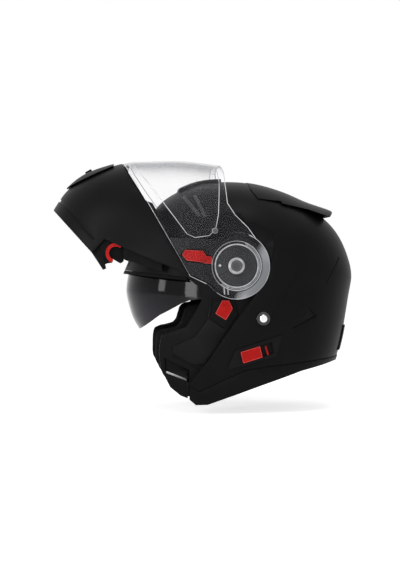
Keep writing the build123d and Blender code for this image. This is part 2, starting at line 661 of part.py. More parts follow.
# Chin bar liner with a pocket for the release button, and the rubber seal along the rear edges
liner_keep = slab(chin_liner_shares, 0, chin_liner_half_width)
button_place = Plane(origin=(button_x_share * head_radius, 0, button_z_share * head_radius),
                     x_dir=(0, 1, 0), z_dir=(button_lean_share, 0, -1))
with BuildPart() as chin_bar_liner:
    add(layer(chin_form(chin_wall + fit), chin_form(chin_wall + chin_liner_wall), liner_keep))
    with Locations(button_place.offset(-button_height / 2 - button_travel - fit)):
        Box(button_length + fit + fit, button_width + fit + fit, chin_liner_wall + button_height,
            align=(Align.CENTER, Align.CENTER, Align.MIN), mode=Mode.SUBTRACT)
write(chin_bar_liner.part, "chin_bar_liner")
seals = layer(chin_form(seal_inset), chin_form(seal_inset + seal_wall), slab(seal_shares))

# Visor gasket, under the visor's lower edge and the chin bar's upper edge
gasket_outer = layer(visor_form(gasket_inset), None, chin_form(chin_wall + fit))
write(layer(gasket_outer, visor_form(gasket_inset + visor_gasket_wall), slab(visor_gasket_shares)),
      "visor_gasket")

# Clear visor with its flat hubs, and a raised ring round each
with BuildPart() as clear_visor:
    add(visor_full)
    add(slab(visor_side_shares), mode=Mode.INTERSECT)
    add(visor_form(visor_wall), mode=Mode.SUBTRACT)
    add(disc(0, 0, visor_hub_radius + visor_ring_wall, 0, overrun), mode=Mode.SUBTRACT)
    add(disc(0, 0, visor_hub_radius + visor_ring_wall, visor_inner, visor_inner + visor_wall))
    ring = disc(0, 0, visor_ring_radius, visor_inner, visor_inner + visor_wall + visor_ring_proud)
    add(ring - disc(0, 0, visor_ring_radius - visor_ring_wall, 0, overrun))
    add(disc(0, 0, hub_radius + bore_gap, 0, overrun), mode=Mode.SUBTRACT)
    insert_pin_hole = disc(insert_pin_x_share, insert_pin_z_share, insert_pin_radius, 0, overrun)
    add(insert_pin_hole, mode=Mode.SUBTRACT)
write(clear_visor.part, "clear_visor")
insert_outer = visor_form(visor_wall + insert_gap)
insert_inner = visor_form(visor_wall + insert_gap + insert_wall)
with BuildPart() as antifog_insert:
    add(layer(insert_outer, insert_inner, slab(insert_shares)))
    add(insert_pin_hole, mode=Mode.SUBTRACT)
write(antifog_insert.part, "antifog_insert")
pins = layer(visor_form(-visor_ring_proud), visor_form(visor_wall + insert_gap + insert_wall),
             disc(insert_pin_x_share, insert_pin_z_share, insert_pin_radius - bore_gap, 0, overrun))

# Sun visor with its arms, and the screws that it turns on
sun_head_outer = sun_half_width - sun_wall - sun_slot
with BuildPart() as sun_visor:
    add(layer(sun_form(), sun_form(sun_wall), slab(sun_side_shares)))
    add(disc(*sun_place, sun_pin_radius + bore_gap, 0, overrun), mode=Mode.SUBTRACT)
write(sun_visor.part, "sun_visor")
with BuildPart() as sun_screws:
    add(disc(*sun_place, sun_pin_radius, sun_head_outer, sun_half_width + sun_screw_grip))
    add(disc(*sun_place, sun_pin_head, sun_head_outer - sun_pin_head_wall, sun_head_outer))

# Latch hooks, curved levers, and the striker bars that they catch
with BuildPart() as hooks:
    hook_centre = (hook_x_share * head_radius, hook_z_share * head_radius)
    for end in (-1, 1):
        with BuildSketch(side(end * hook_inner)):
            with BuildLine():
                CenterArc(hook_centre, hook_radius, hook_start_deg, hook_sweep_deg)
            trace(line_width=hook_wall)
        extrude(amount=-end * hook_width)
    pin_x_share = hook_x_share + hook_radius * cos(radians(hook_start_deg)) / head_radius
    pin_z_share = hook_z_share + hook_radius * sin(radians(hook_start_deg)) / head_radius
    add(disc(pin_x_share, pin_z_share, hook_pin_radius, hook_inner, hook_inner + hook_width + hook_pin_reach))
strikers = disc(striker_x_share, striker_z_share, striker_radius, striker_inner, striker_outer)
strikers += slab(striker_plate_shares, striker_inner, striker_plate_outer)
strikers += slab(striker_shares, striker_inner, striker_inner + striker_base_wall, grow=-fit)

# Cheek panels in the stepped cheeks, and the red open lock in the left one
panel_outer = shell_form(cheek_recess - panel_proud) & slab(cheek_shares, 0, flat_half_width + panel_proud)
panel_inner = shell_form(cheek_recess - skin_gap) & slab(cheek_shares, 0, flat_half_width + skin_gap)
panels = layer(panel_outer, panel_inner, slab(cheek_panel_shares))
panels -= half(slab(lock_window_shares), -1)
write(half(slab(lock_shares, flat_half_width + skin_gap, flat_half_width + lock_wall), -1), "open_lock")

# Chin release button
with BuildPart() as chin_release_button:
    with Locations(button_place):
        Box(button_length, button_width, button_height)
    fillet(chin_release_button.edges().filter_by(Axis.Y, reverse=True), buckle_wall)
write(chin_release_button.part, "chin_release_button")

pairs = {
    "side_scoop": scoops, "strap_rivet": rivets.part, "strap_hanger": hangers, "strap": straps.part,
    "cheek_pad": cheek_pads.part, "pivot_base": bases.part, "hinge_plate": plates.part,
    "hub_cap": hub_caps.part, "visor_release": levers, "chin_seal": seals, "insert_pin": pins,
    "sun_visor_screw": sun_screws.part, "latch_hook": hooks.part, "latch_striker": strikers,
    "cheek_panel": panels,
}
for name, pair in pairs.items():
    for end, hand in ((-1, "left"), (1, "right")):
        write(half(pair, end), f"{name}_{hand}")
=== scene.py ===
"""Finishes, soft liner, straps, fittings and stage of a modular motorcycle helmet, in metres."""
import json
import math

import bmesh
import bpy
from mathutils import Matrix, Vector

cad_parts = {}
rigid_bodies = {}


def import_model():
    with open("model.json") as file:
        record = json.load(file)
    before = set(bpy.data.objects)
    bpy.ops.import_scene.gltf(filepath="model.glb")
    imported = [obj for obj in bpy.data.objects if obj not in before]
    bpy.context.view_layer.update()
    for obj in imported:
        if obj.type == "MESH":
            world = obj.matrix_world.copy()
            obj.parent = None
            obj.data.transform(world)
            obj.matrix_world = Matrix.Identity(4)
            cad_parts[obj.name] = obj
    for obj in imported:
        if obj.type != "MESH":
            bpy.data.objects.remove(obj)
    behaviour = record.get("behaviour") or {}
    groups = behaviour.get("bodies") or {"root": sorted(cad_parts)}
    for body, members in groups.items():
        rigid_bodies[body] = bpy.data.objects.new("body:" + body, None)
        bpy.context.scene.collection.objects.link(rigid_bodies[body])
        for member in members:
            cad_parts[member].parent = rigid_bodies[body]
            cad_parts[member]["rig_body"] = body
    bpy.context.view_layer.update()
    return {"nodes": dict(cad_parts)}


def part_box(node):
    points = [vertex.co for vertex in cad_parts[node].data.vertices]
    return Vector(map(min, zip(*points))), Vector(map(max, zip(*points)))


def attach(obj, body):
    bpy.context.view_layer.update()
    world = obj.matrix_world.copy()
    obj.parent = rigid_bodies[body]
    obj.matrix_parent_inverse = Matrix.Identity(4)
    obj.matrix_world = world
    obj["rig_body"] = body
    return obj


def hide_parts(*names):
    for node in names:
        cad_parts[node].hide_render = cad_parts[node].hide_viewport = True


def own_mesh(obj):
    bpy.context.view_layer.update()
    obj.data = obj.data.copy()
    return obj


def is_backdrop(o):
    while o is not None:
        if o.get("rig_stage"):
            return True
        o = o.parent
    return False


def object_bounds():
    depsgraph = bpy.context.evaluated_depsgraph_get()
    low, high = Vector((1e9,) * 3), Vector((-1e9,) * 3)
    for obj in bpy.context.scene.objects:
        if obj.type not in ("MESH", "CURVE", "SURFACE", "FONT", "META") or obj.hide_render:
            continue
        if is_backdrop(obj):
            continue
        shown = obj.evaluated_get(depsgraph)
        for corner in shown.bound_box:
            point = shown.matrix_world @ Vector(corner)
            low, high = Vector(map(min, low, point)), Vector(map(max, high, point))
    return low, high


bl_info = {
    "name": "Modular helmet",
    "version": (1, 0, 0),
    "blender": (4, 5, 0),
    "location": "View3D > Sidebar > Helmet",
    "description": "Dresses a modular motorcycle helmet: painted shells, visors, liner and straps",
    "category": "Object",
}

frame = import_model()
nodes = frame["nodes"]
body_of_node = {node: piece["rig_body"] for node, piece in nodes.items()}

SIDES = ((-1, "left"), (1, "right"))  # each side's sign of Y and its name
MERGE = 0.00001  # points nearer than this become one
BEAD_ANGLE = 50  # a bead runs along edges that turn by more degrees than this


class HelmetFinish(bpy.types.PropertyGroup):
    """Colours and surface values of the helmet"""
    shell_colour: bpy.props.FloatVectorProperty(
        name="Shell colour", description="Colour of the matte paint", subtype="COLOR", size=3,
        min=0, max=1, default=(0.0030, 0.0030, 0.0032))
    shell_roughness: bpy.props.FloatProperty(
        name="Shell roughness", description="How matte the paint is", min=0, max=1, default=0.42)
    accent_colour: bpy.props.FloatVectorProperty(
        name="Accent colour", description="Colour of the levers, hooks and sliders", subtype="COLOR", size=3,
        min=0, max=1, default=(0.42, 0.010, 0.009))
    smoke_colour: bpy.props.FloatVectorProperty(
        name="Smoke colour", description="Tint of the sun visor", subtype="COLOR", size=3,
        min=0, max=1, default=(0.016, 0.0145, 0.019))
    smoke_cover: bpy.props.FloatProperty(
        name="Smoke cover", description="How much of the light the sun visor stops", min=0, max=1,
        default=0.975)
    sheet_cover: bpy.props.FloatProperty(
        name="Sheet haze", description="How much the clear visor hides, seen square on", min=0, max=1,
        default=0.012)


class HelmetSizes(bpy.types.PropertyGroup):
    """Sizes of the pieces that are added to the frame"""
    edge_round: bpy.props.FloatProperty(
        name="Edge round", description="Rounding of the painted pieces' edges", subtype="DISTANCE",
        unit="LENGTH", default=0.0006)
    cloth_voxel: bpy.props.FloatProperty(
        name="Cloth grain", description="Size of the cells that padded pieces are rebuilt with",
        subtype="DISTANCE", unit="LENGTH", default=0.004)
    cloth_rise: bpy.props.FloatProperty(
        name="Cloth rise", description="How far a padded piece may swell", subtype="DISTANCE", unit="LENGTH",
        default=0.004)
    stitch_length: bpy.props.FloatProperty(
        name="Stitch length", description="Length of one stitch", subtype="DISTANCE", unit="LENGTH",
        default=0.0035)


class HelmetView(bpy.types.PropertyGroup):
    """Camera, lamps and floor"""
    turn: bpy.props.FloatProperty(
        name="Turn", description="Turn of the camera, towards the face below 0", subtype="ANGLE",
        default=math.radians(-3.4))
    height: bpy.props.FloatProperty(
        name="Height", description="Angle of the camera above the floor", subtype="ANGLE",
        default=math.radians(0.7))
    distance: bpy.props.FloatProperty(
        name="Distance", description="Distance of the camera", subtype="DISTANCE", unit="LENGTH", default=2.0)
    span: bpy.props.FloatProperty(
        name="Span", description="Height of the view at the helmet", subtype="DISTANCE", unit="LENGTH",
        default=0.758)
    aim: bpy.props.FloatVectorProperty(
        name="Aim", description="Point in the middle of the view", subtype="XYZ", size=3, unit="LENGTH",
        default=(-0.0388, 0.0, -0.0253))
    key_power: bpy.props.FloatProperty(
        name="Key lamp", description="Power of the lamp at the camera's side", min=0, default=12.0)
    top_power: bpy.props.FloatProperty(
        name="Top lamp", description="Power of the lamp above", min=0, default=8.0)


# Materials

def surface(name, colour, roughness, specular=0.5, metallic=0.0, sheen=0.0):
    """A new material with its plain values set on the shader."""
    material = bpy.data.materials.new(name)
    material.use_nodes = True
    shader = shader_of(material)
    shader.inputs["Base Color"].default_value = (*colour, 1)
    shader.inputs["Roughness"].default_value = roughness
    shader.inputs["Metallic"].default_value = metallic
    shader.inputs["Specular IOR Level"].default_value = specular
    shader.inputs["Sheen Weight"].default_value = sheen
    shader.inputs["Sheen Roughness"].default_value = 0.45
    return material


def shader_of(material):
    return material.node_tree.nodes["Principled BSDF"]


def add_node(material, kind, **values):
    """A new node: a value goes to the input of its name, or else to the node's own setting."""
    node = material.node_tree.nodes.new(kind)
    for key, value in values.items():
        if key in node.inputs:
            node.inputs[key].default_value = value
        else:
            setattr(node, key, value)
    return node


def join(material, source, output, target, socket):
    material.node_tree.links.new(source.outputs[output], target.inputs[socket])


def texture(material, kind, **values):
    """A texture or vector node that is fed the piece's own coordinates."""
    pattern = add_node(material, kind, **values)
    join(material, add_node(material, "ShaderNodeTexCoord"), "Object", pattern, "Vector")
    return pattern


def two_colours(material, low, high, source, output):
    """Base colour that runs between two colours as a value grows."""
    ramp = add_node(material, "ShaderNodeValToRGB")
    ramp.color_ramp.elements[0].color = (*low, 1)
    ramp.color_ramp.elements[1].color = (*high, 1)
    join(material, source, output, ramp, "Fac")
    join(material, ramp, "Color", shader_of(material), "Base Color")
    return ramp


def mottle(material, colour, other, scale, detail=3.0):
    """Colour that drifts between two close shades."""
    noise = texture(material, "ShaderNodeTexNoise", Scale=scale, Detail=detail)
    ramp = two_colours(material, colour, other, noise, "Fac")
    ramp.color_ramp.elements[0].position = 0.35
    ramp.color_ramp.elements[1].position = 0.68


def remap(material, source, output, low, high, socket):
    """Feeds a value of 0 to 1, spread from low to high, to an input of the shader."""
    spread = add_node(material, "ShaderNodeMapRange")
    spread.inputs["To Min"].default_value = low
    spread.inputs["To Max"].default_value = high
    join(material, source, output, spread, "Value")
    join(material, spread, "Result", shader_of(material), socket)


def rough_drift(material, low, high, scale):
    """Roughness that drifts a little, as handled paint does."""
    noise = texture(material, "ShaderNodeTexNoise", Scale=scale, Detail=2.0)
    remap(material, noise, "Fac", low, high, "Roughness")


def bump_from(material, pattern, strength, distance):
    """A bump whose height is a pattern's first output."""
    bump = add_node(material, "ShaderNodeBump", Strength=strength, Distance=distance)
    join(material, pattern, 0, bump, "Height")
    join(material, bump, "Normal", shader_of(material), "Normal")


def grain(material, scale, strength, distance, kind="ShaderNodeTexNoise"):
    """A fine bump: moulded grain, or the beads of foam."""
    bump_from(material, texture(material, kind, Scale=scale), strength, distance)


def combined(material, operation, first, second):
    """Two nodes' values put together by one sum or product."""
    both = add_node(material, "ShaderNodeMath", operation=operation)
    join(material, *first, both, 0)
    join(material, *second, both, 1)
    return both


def knit(material, pitch, strength):
    """Crossed rows of a knitted or woven cloth, as a bump."""
    rows = []
    for direction in ("X", "Y", "Z"):
        wave = texture(material, "ShaderNodeTexWave", Scale=1 / pitch / 6.28, Distortion=1.2)
        wave.bands_direction = direction
        wave.inputs["Detail Scale"].default_value = 3
        rows.append((wave, "Fac"))
    crossed = combined(material, "MULTIPLY", rows[0], rows[2])
    bump_from(material, combined(material, "ADD", (crossed, 0), rows[1]), strength, pitch / 2)


def webbing_weave(material):
    """Herringbone rows along and across a strap's own map."""
    coords = add_node(material, "ShaderNodeTexCoord")
    along = add_node(material, "ShaderNodeTexWave", Scale=26.0, bands_direction="DIAGONAL")
    across = add_node(material, "ShaderNodeTexWave", Scale=9.0, bands_direction="Y")
    for wave in (along, across):
        join(material, coords, "UV", wave, "Vector")
    bump_from(material, combined(material, "ADD", (along, "Fac"), (across, "Fac")), 0.6, 0.0004)


def see_through(material, square_on, at_edge, power):
    """Cover that grows from square on to edge on, as a thin clear sheet has."""
    facing = add_node(material, "ShaderNodeLayerWeight", Blend=0.5)
    curve = add_node(material, "ShaderNodeMath", operation="POWER")
    curve.inputs[1].default_value = power
    join(material, facing, "Facing", curve, 0)
    remap(material, curve, 0, square_on, at_edge, "Alpha")


def soft_step(material, source, output, start, stop):
    """A value that grows smoothly from 0 to 1 between two values of its source."""
    spread = add_node(material, "ShaderNodeMapRange", interpolation_type="SMOOTHSTEP")
    spread.inputs["From Min"].default_value = start
    spread.inputs["From Max"].default_value = stop
    join(material, source, output, spread, "Value")
    return spread


def object_mask(material, direction, start, stop):
    """A value that grows from 0 to 1 as the surface lies further along a direction."""
    reach = texture(material, "ShaderNodeVectorMath", operation="DOT_PRODUCT")
    reach.inputs[1].default_value = direction
    return soft_step(material, reach, "Value", start, stop)


def painted_hub_rim_highlight(material, radius, width, direction, cover):
    """Painted highlight on the thick rounded rim of the clear sheet's hub end: more cover of the sheet's pale
    colour on the side away from the face.
    """
    flat = texture(material, "ShaderNodeVectorMath", operation="MULTIPLY")
    flat.inputs[1].default_value = (1, 0, 1)
    reach = add_node(material, "ShaderNodeVectorMath", operation="LENGTH")
    join(material, flat, "Vector", reach, 0)
    outside = soft_step(material, reach, "Value", radius, radius + width)
    away = object_mask(material, direction, 0.012, 0.026)
    both = combined(material, "MULTIPLY", (outside, "Result"), (away, "Result"))
    rim = add_node(material, "ShaderNodeMath", operation="MULTIPLY")
    rim.inputs[1].default_value = cover
    join(material, both, 0, rim, 0)
    shader = shader_of(material)
    through = shader.inputs["Alpha"].links[0].from_socket
    total = add_node(material, "ShaderNodeMath", operation="ADD", use_clamp=True)
    material.node_tree.links.new(through, total.inputs[0])
    join(material, rim, 0, total, 1)
    join(material, total, 0, shader, "Alpha")


finishes = {}


def finish(name, colour, roughness, mottled=None, drift=None, grained=None, **values):
    """A new finish: plain values, then colour drift, roughness drift and grain where it has them."""
    material = surface(name, colour, roughness, **values)
    if mottled:
        mottle(material, *mottled)
    if drift:
        rough_drift(material, *drift)
    if grained:
        grain(material, *grained)
    finishes[name] = material
    return material


def shade(colour, share):
    """A colour made darker or lighter by a share."""
    return tuple(part * share for part in colour)


def make_finishes(values):
    """Makes all finishes of the helmet."""
    paint, rough = tuple(values.shell_colour), values.shell_roughness
    finish("matte_paint", paint, rough, (paint, shade(paint, 1.35), 22), (rough - 0.03, rough + 0.05, 14),
           (2600, 0.06, 0.0001), specular=0.06)
    finish("grained_moulding", (0.0036, 0.0036, 0.0038), 0.46,
           ((0.0030, 0.0030, 0.0032), (0.0046, 0.0046, 0.0049), 40), None, (1500, 0.16, 0.00015),
           specular=0.06)
    finish("recessed_panel", (0.0045, 0.0045, 0.0050), 0.5,
           ((0.0038, 0.0038, 0.0043), (0.0056, 0.0056, 0.0063), 60), None, (1300, 0.18, 0.00015),
           specular=0.08)
    finish("soft_rubber_and_shade", (0.0035, 0.0035, 0.0035), 0.72,
           ((0.0030, 0.0030, 0.0030), (0.0048, 0.0048, 0.0048), 80), None, (900, 0.2, 0.0002), specular=0.08)
    finish("bead_foam", (0.008, 0.008, 0.0085), 0.8,
           ((0.0055, 0.0055, 0.0058), (0.0110, 0.0110, 0.0117), 420, 1), None,
           (330, 0.55, 0.0006, "ShaderNodeTexVoronoi"), specular=0.1)
    cloth = finish("brushed_cloth", (0.005, 0.005, 0.0055), 0.9,
                   ((0.0042, 0.0042, 0.0045), (0.0075, 0.0075, 0.0082), 150, 4), specular=0.08, sheen=0.02)
    knit(cloth, 0.0013, 0.5)
    mesh_cloth = finish("open_knit", (0.009, 0.009, 0.010), 0.85,
                        ((0.0070, 0.0070, 0.0078), (0.0135, 0.0135, 0.0150), 320, 2), specular=0.1,
                        sheen=0.03)
    knit(mesh_cloth, 0.0024, 0.9)
    webbing = finish("strap_webbing", (0.008, 0.008, 0.0085), 0.75,
                     ((0.009, 0.009, 0.0095), (0.014, 0.014, 0.015), 260, 2), specular=0.12, sheen=0.04)
    webbing_weave(webbing)
    finish("stitch_thread", (0.030, 0.030, 0.033), 0.7,
           ((0.024, 0.024, 0.026), (0.036, 0.036, 0.040), 900, 1), specular=0.3)
    red = tuple(values.accent_colour)
    finish("red_moulding", red, 0.38, (red, shade(red, 0.82), 130), None, (1800, 0.08, 0.0001), specular=0.07)
    # A lighter red on the levers' edge beads: a painted highlight.
    finish("red_edge_highlight", (0.62, 0.060, 0.050), 0.3, ((0.55, 0.045, 0.040), (0.68, 0.075, 0.062), 200),
           specular=0.3)
    # Lighter grey moulding of the hub disc; on the brow ribs the same grey is a painted highlight.
    finish("hinge_plate_moulding", (0.030, 0.031, 0.034), 0.42,
           ((0.029, 0.030, 0.032), (0.041, 0.042, 0.045), 70), None, (1200, 0.12, 0.00012), specular=0.12)
    finish("hinge_arm_moulding", (0.011, 0.011, 0.0125), 0.42,
           ((0.0095, 0.0095, 0.0108), (0.0140, 0.0140, 0.0158), 70), None, (1200, 0.12, 0.00012),
           specular=0.1)
    finish("hub_cap_moulding", (0.055, 0.056, 0.060), 0.3,
           ((0.048, 0.049, 0.053), (0.066, 0.067, 0.072), 120))
    finish("plain_steel", (0.42, 0.42, 0.43), 0.3, None, (0.24, 0.4, 160), (900, 0.05, 0.00008), metallic=1.0)
    finish("worn_steel", (0.17, 0.17, 0.175), 0.36, None, (0.30, 0.46, 220), metallic=1.0)
    finish("polished_stud", (0.80, 0.80, 0.81), 0.12, None, (0.08, 0.2, 240), metallic=1.0)
    finish("dark_washer", (0.035, 0.035, 0.037), 0.34, None, (0.28, 0.42, 200), metallic=0.6)
    # Pale grey of the clear hub's rings and detent bars: a painted highlight.
    finish("moulded_ring", (0.34, 0.345, 0.36), 0.25, ((0.26, 0.265, 0.28), (0.42, 0.425, 0.44), 190))
    # Pale finish of the beads along the clear sheets' edges: a painted highlight.
    finish("sheet_edge_bead_highlight", (0.62, 0.63, 0.66), 0.2, ((0.45, 0.46, 0.49), (0.75, 0.76, 0.79), 60))
    clear = finish("clear_sheet", (0.40, 0.41, 0.43), 0.06, None, (0.04, 0.10, 30))
    see_through(clear, values.sheet_cover, 0.70, 4.5)
    # The hub end's rim gets a painted highlight.
    painted_hub_rim_highlight(clear, 0.0318, 0.0016, (0.90, 0, -0.43), 0.80)
    # Pale, nearly opaque cut edges of the clear sheets: a painted highlight.
    see_through(finish("clear_sheet_edge", (0.78, 0.80, 0.84), 0.2, specular=0.6), 0.75, 0.9, 1.0)
    see_through(finish("fog_insert", (0.60, 0.62, 0.68), 0.12), 0.008, 0.45, 4.5)
    tint = tuple(values.smoke_colour)
    smoke = finish("smoked_sheet", tint, 0.10, None, (0.05, 0.1, 30), specular=0.14)
    see_through(smoke, values.smoke_cover, 0.99, 2.0)
    downwards = object_mask(smoke, (-0.5, 0, -0.866), 0.070, 0.118)
    two_colours(smoke, shade(tint, 0.12), shade(tint, 1.25), downwards, "Result")


def clothe(piece, material):
    """Gives a piece one material."""
    piece.data.materials.clear()
    piece.data.materials.append(material)


def finish_named(name):
    """A finish that make_finishes has made. The frame's own materials can bear the same name."""
    return finishes[name]


# Modelling helpers

def pick(piece):
    """Leaves one piece selected and active, and everything else deselected."""
    if bpy.context.object and bpy.context.object.mode != "OBJECT":
        bpy.ops.object.mode_set(mode="OBJECT")
    bpy.ops.object.select_all(action="DESELECT")
    piece.select_set(True)
    bpy.context.view_layer.objects.active = piece


def added(name, operator, **values):
    """A new object from one of Blender's add operators, under its own name."""
    bpy.ops.object.select_all(action="DESELECT")
    operator(**values)
    bpy.context.object.name = name
    return bpy.context.object


def edit_all(piece):
    """Opens a piece's mesh with all of it selected."""
    pick(piece)
    bpy.ops.object.mode_set(mode="EDIT")
    bpy.ops.mesh.select_all(action="SELECT")


def apply_all(piece):
    pick(piece)
    for modifier in list(piece.modifiers):
        bpy.ops.object.modifier_apply(modifier=modifier.name)


def settle(piece):
    """Puts a piece's place into its mesh."""
    pick(piece)
    bpy.ops.object.transform_apply(location=True, rotation=True, scale=True)


def copy_of(node, name):
    """A merged copy of a CAD node's mesh, as a new piece."""
    piece = bpy.data.objects.new(name, nodes[node].data.copy())
    bpy.context.scene.collection.objects.link(piece)
    piece.data.materials.clear()
    edit_all(piece)
    bpy.ops.mesh.remove_doubles(threshold=MERGE)
    bpy.ops.object.mode_set(mode="OBJECT")
    return piece


def face_outwards(piece):
    """Turns every face's normal outwards."""
    edit_all(piece)
    bpy.ops.mesh.normals_make_consistent(inside=False)
    bpy.ops.object.mode_set(mode="OBJECT")


def smooth(piece, degrees=35):
    pick(piece)
    bpy.ops.object.shade_smooth_by_angle(angle=math.radians(degrees))


def keep_with(piece, body, replaced=()):
    """Rides a piece on a body, and hides the nodes that it stands for."""
    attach(piece, body)
    if replaced:
        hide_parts(*replaced)


def dress(piece, material, body, degrees=35):
    """Gives an added piece smooth shading, its finish and its body."""
    smooth(piece, degrees)
    clothe(piece, finish_named(material))
    keep_with(piece, body)


def round_edges(piece, width, degrees=35, segments=2):
    """A small bevel along the sharp edges."""
    bevel = piece.modifiers.new("edge_round", "BEVEL")
    bevel.width = width
    bevel.segments = segments
    bevel.limit_method = "ANGLE"
    bevel.angle_limit = math.radians(degrees)
    bevel.use_clamp_overlap = True
    apply_all(piece)


def thicken(piece, thickness):
    """Gives a flat piece a wall, half of it on each side."""
    wall = piece.modifiers.new("wall", "SOLIDIFY")
    wall.thickness = thickness
    wall.offset = 0


# Its default finish is the pale sheet edge bead, a painted highlight.
def edge_bead(node, name, radius, material="sheet_edge_bead_highlight", skip=None):
    """A fine bead along the sharp edges of a CAD node, less the points that skip picks."""
    bead = copy_of(node, name)
    bpy.ops.object.mode_set(mode="EDIT")
    bpy.ops.mesh.select_mode(type="EDGE")
    bpy.ops.mesh.select_all(action="DESELECT")
    bpy.ops.mesh.edges_select_sharp(sharpness=math.radians(BEAD_ANGLE))
    bpy.ops.mesh.select_all(action="INVERT")
    bpy.ops.mesh.delete(type="EDGE_FACE")
    bpy.ops.mesh.select_mode(type="VERT")
    bpy.ops.mesh.select_all(action="DESELECT")
    bpy.ops.object.mode_set(mode="OBJECT")
    if skip:
        for vertex in bead.data.vertices:
            vertex.select = skip(vertex.co)
        bpy.ops.object.mode_set(mode="EDIT")
        bpy.ops.mesh.delete(type="VERT")
        bpy.ops.object.mode_set(mode="OBJECT")
    bpy.ops.object.convert(target="CURVE")
    bead = bpy.context.object
    bead.data.bevel_depth = radius
    bead.data.bevel_resolution = 1
    bpy.ops.object.convert(target="MESH")
    bead = bpy.context.object
    bead.name = name
    dress(bead, material, body_of_node[node], 60)


def side_run(start, end_point):
    """The middle of a line of the side view, and the run from its start to its end."""
    a, b = Vector((start[0], 0, start[1])), Vector((end_point[0], 0, end_point[1]))
    return (a + b) / 2, b - a


def lie_along(piece, middle, run, y):
    """Turns a piece that lies along X to lie along a run of the side view, and puts it in its place."""
    piece.data.transform(Matrix.Rotation(-math.atan2(run.z, run.x), 4, "Y"))
    piece.data.transform(Matrix.Translation((middle.x, y, middle.z)))


def bar(name, start, end_point, width, height, base_y, end, material, body, rounding=0.0003):
    """A low bar between two side-view places, standing out along Y from its base."""
    middle, run = side_run(start, end_point)
    piece = added(name, bpy.ops.mesh.primitive_cube_add, size=1, location=(0, 0, 0))
    piece.data.transform(Matrix.Diagonal((run.length, height, width, 1)))
    lie_along(piece, middle, run, end * (base_y + height / 2))
    round_edges(piece, rounding)
    dress(piece, material, body)


STRIP_CELLS = 24
STRIP_START_Y = 0.16  # a strip starts outside the shell and is laid inwards onto it
STRIP_DEPTH, STRIP_REACH = 0.08, 0.15  # the most Y that one strip may span, and the most that it may reach


def laid_strip(name, line, width, height, target, end, material):
    """A strip along a side-view line that lies on the shell's outer face, standing a little proud."""
    middle, run = side_run(*line)
    piece = added(name, bpy.ops.mesh.primitive_grid_add, x_subdivisions=STRIP_CELLS, y_subdivisions=3,
                  size=1, location=(0, 0, 0))
    piece.data.transform(Matrix.Diagonal((run.length, width, 1, 1)))
    piece.data.transform(Matrix.Rotation(math.pi / 2, 4, "X"))
    lie_along(piece, middle, run, end * STRIP_START_Y)
    lay = piece.modifiers.new("lay", "SHRINKWRAP")
    lay.target = target
    lay.wrap_method = "PROJECT"
    lay.use_project_y = True
    lay.use_positive_direction = end < 0
    lay.use_negative_direction = end > 0
    thicken(piece, height * 2)
    apply_all(piece)
    piece.data.update()
    low = min(abs(vertex.co.y) for vertex in piece.data.vertices)
    high = max(abs(vertex.co.y) for vertex in piece.data.vertices)
    if high - low > STRIP_DEPTH or high > STRIP_REACH:
        raise RuntimeError(f"{name} misses its piece: {low:.3f} to {high:.3f}")
    round_edges(piece, min(height, width) * 0.3)
    dress(piece, material, "shell", 40)


def turned(name, outline, centre, end, material, body, sides, slot, hollow):
    """A round piece about an axis along Y, from outline pairs of a radius and a height outwards.

    The outline of a hollow piece runs once round its section. That of a full piece runs from its base
    to its top, which are both closed.
    """
    piece = added(name, bpy.ops.mesh.primitive_circle_add, vertices=sides, radius=outline[0][0],
                  fill_type="NOTHING" if hollow else "NGON", location=(0, 0, outline[0][1]))
    settle(piece)
    edit_all(piece)
    following = (*outline[1:], outline[0]) if hollow else outline[1:]
    for (radius, height), (wider, higher) in zip(outline, following):
        bpy.ops.mesh.extrude_region_move(TRANSFORM_OT_translate={"value": (0, 0, higher - height)})
        if wider != radius:
            scale = wider / radius
            bpy.ops.transform.resize(value=(scale, scale, 1), center_override=(0, 0, higher))
    if hollow:
        bpy.ops.mesh.select_all(action="SELECT")
        bpy.ops.mesh.remove_doubles(threshold=MERGE)
    face_outwards(piece)
    piece.data.transform(Matrix.Rotation(-end * math.pi / 2, 4, "X"))
    piece.data.transform(Matrix.Translation(centre))
    dress(piece, material, body)


# Painted and moulded pieces

PAINTED = ("outer_shell", "chin_bar_shell", "rear_spoiler")
MOULDED = ("base_trim", "crown_vent", "chin_vent_cover", "rear_vent", "crown_vent_slider", "chin_vent_slider",
           "chin_release_button")
STRIKERS = ("latch_striker_left", "latch_striker_right")
PANELS = ("slider_panel", "side_scoop_left", "side_scoop_right", "cheek_panel_left", "cheek_panel_right")
RUBBERS = ("brow_gasket", "visor_gasket", "chin_seal_left", "chin_seal_right")
FOAMS = ("impact_liner", "chin_bar_liner")
LEVERS = ("visor_release_left", "visor_release_right", "open_lock", "sun_visor_slider")
REDS = (*LEVERS, "buckle_lever", "latch_hook_left", "latch_hook_right")
ARMS = ("pivot_base_left", "pivot_base_right", "hinge_plate_left", "hinge_plate_right")
CAPS = ("hub_cap_left", "hub_cap_right", "insert_pin_left", "insert_pin_right")
STEELS = ("buckle_body", "strap_tongue", "strap_hanger_left", "strap_hanger_right",
          "sun_visor_screw_left", "sun_visor_screw_right")
RIVETS = ("strap_rivet_left", "strap_rivet_right")
FINISH_OF = ((PAINTED, "matte_paint"), (MOULDED, "grained_moulding"), (STRIKERS, "grained_moulding"),
             (PANELS, "recessed_panel"), (RUBBERS, "soft_rubber_and_shade"), (FOAMS, "bead_foam"),
             (REDS, "red_moulding"), (ARMS, "hinge_arm_moulding"), (CAPS, "hub_cap_moulding"),
             (STEELS, "plain_steel"), (RIVETS, "polished_stud"), (("clear_visor",), "clear_sheet"),
             (("antifog_insert",), "fog_insert"), (("sun_visor",), "smoked_sheet"))


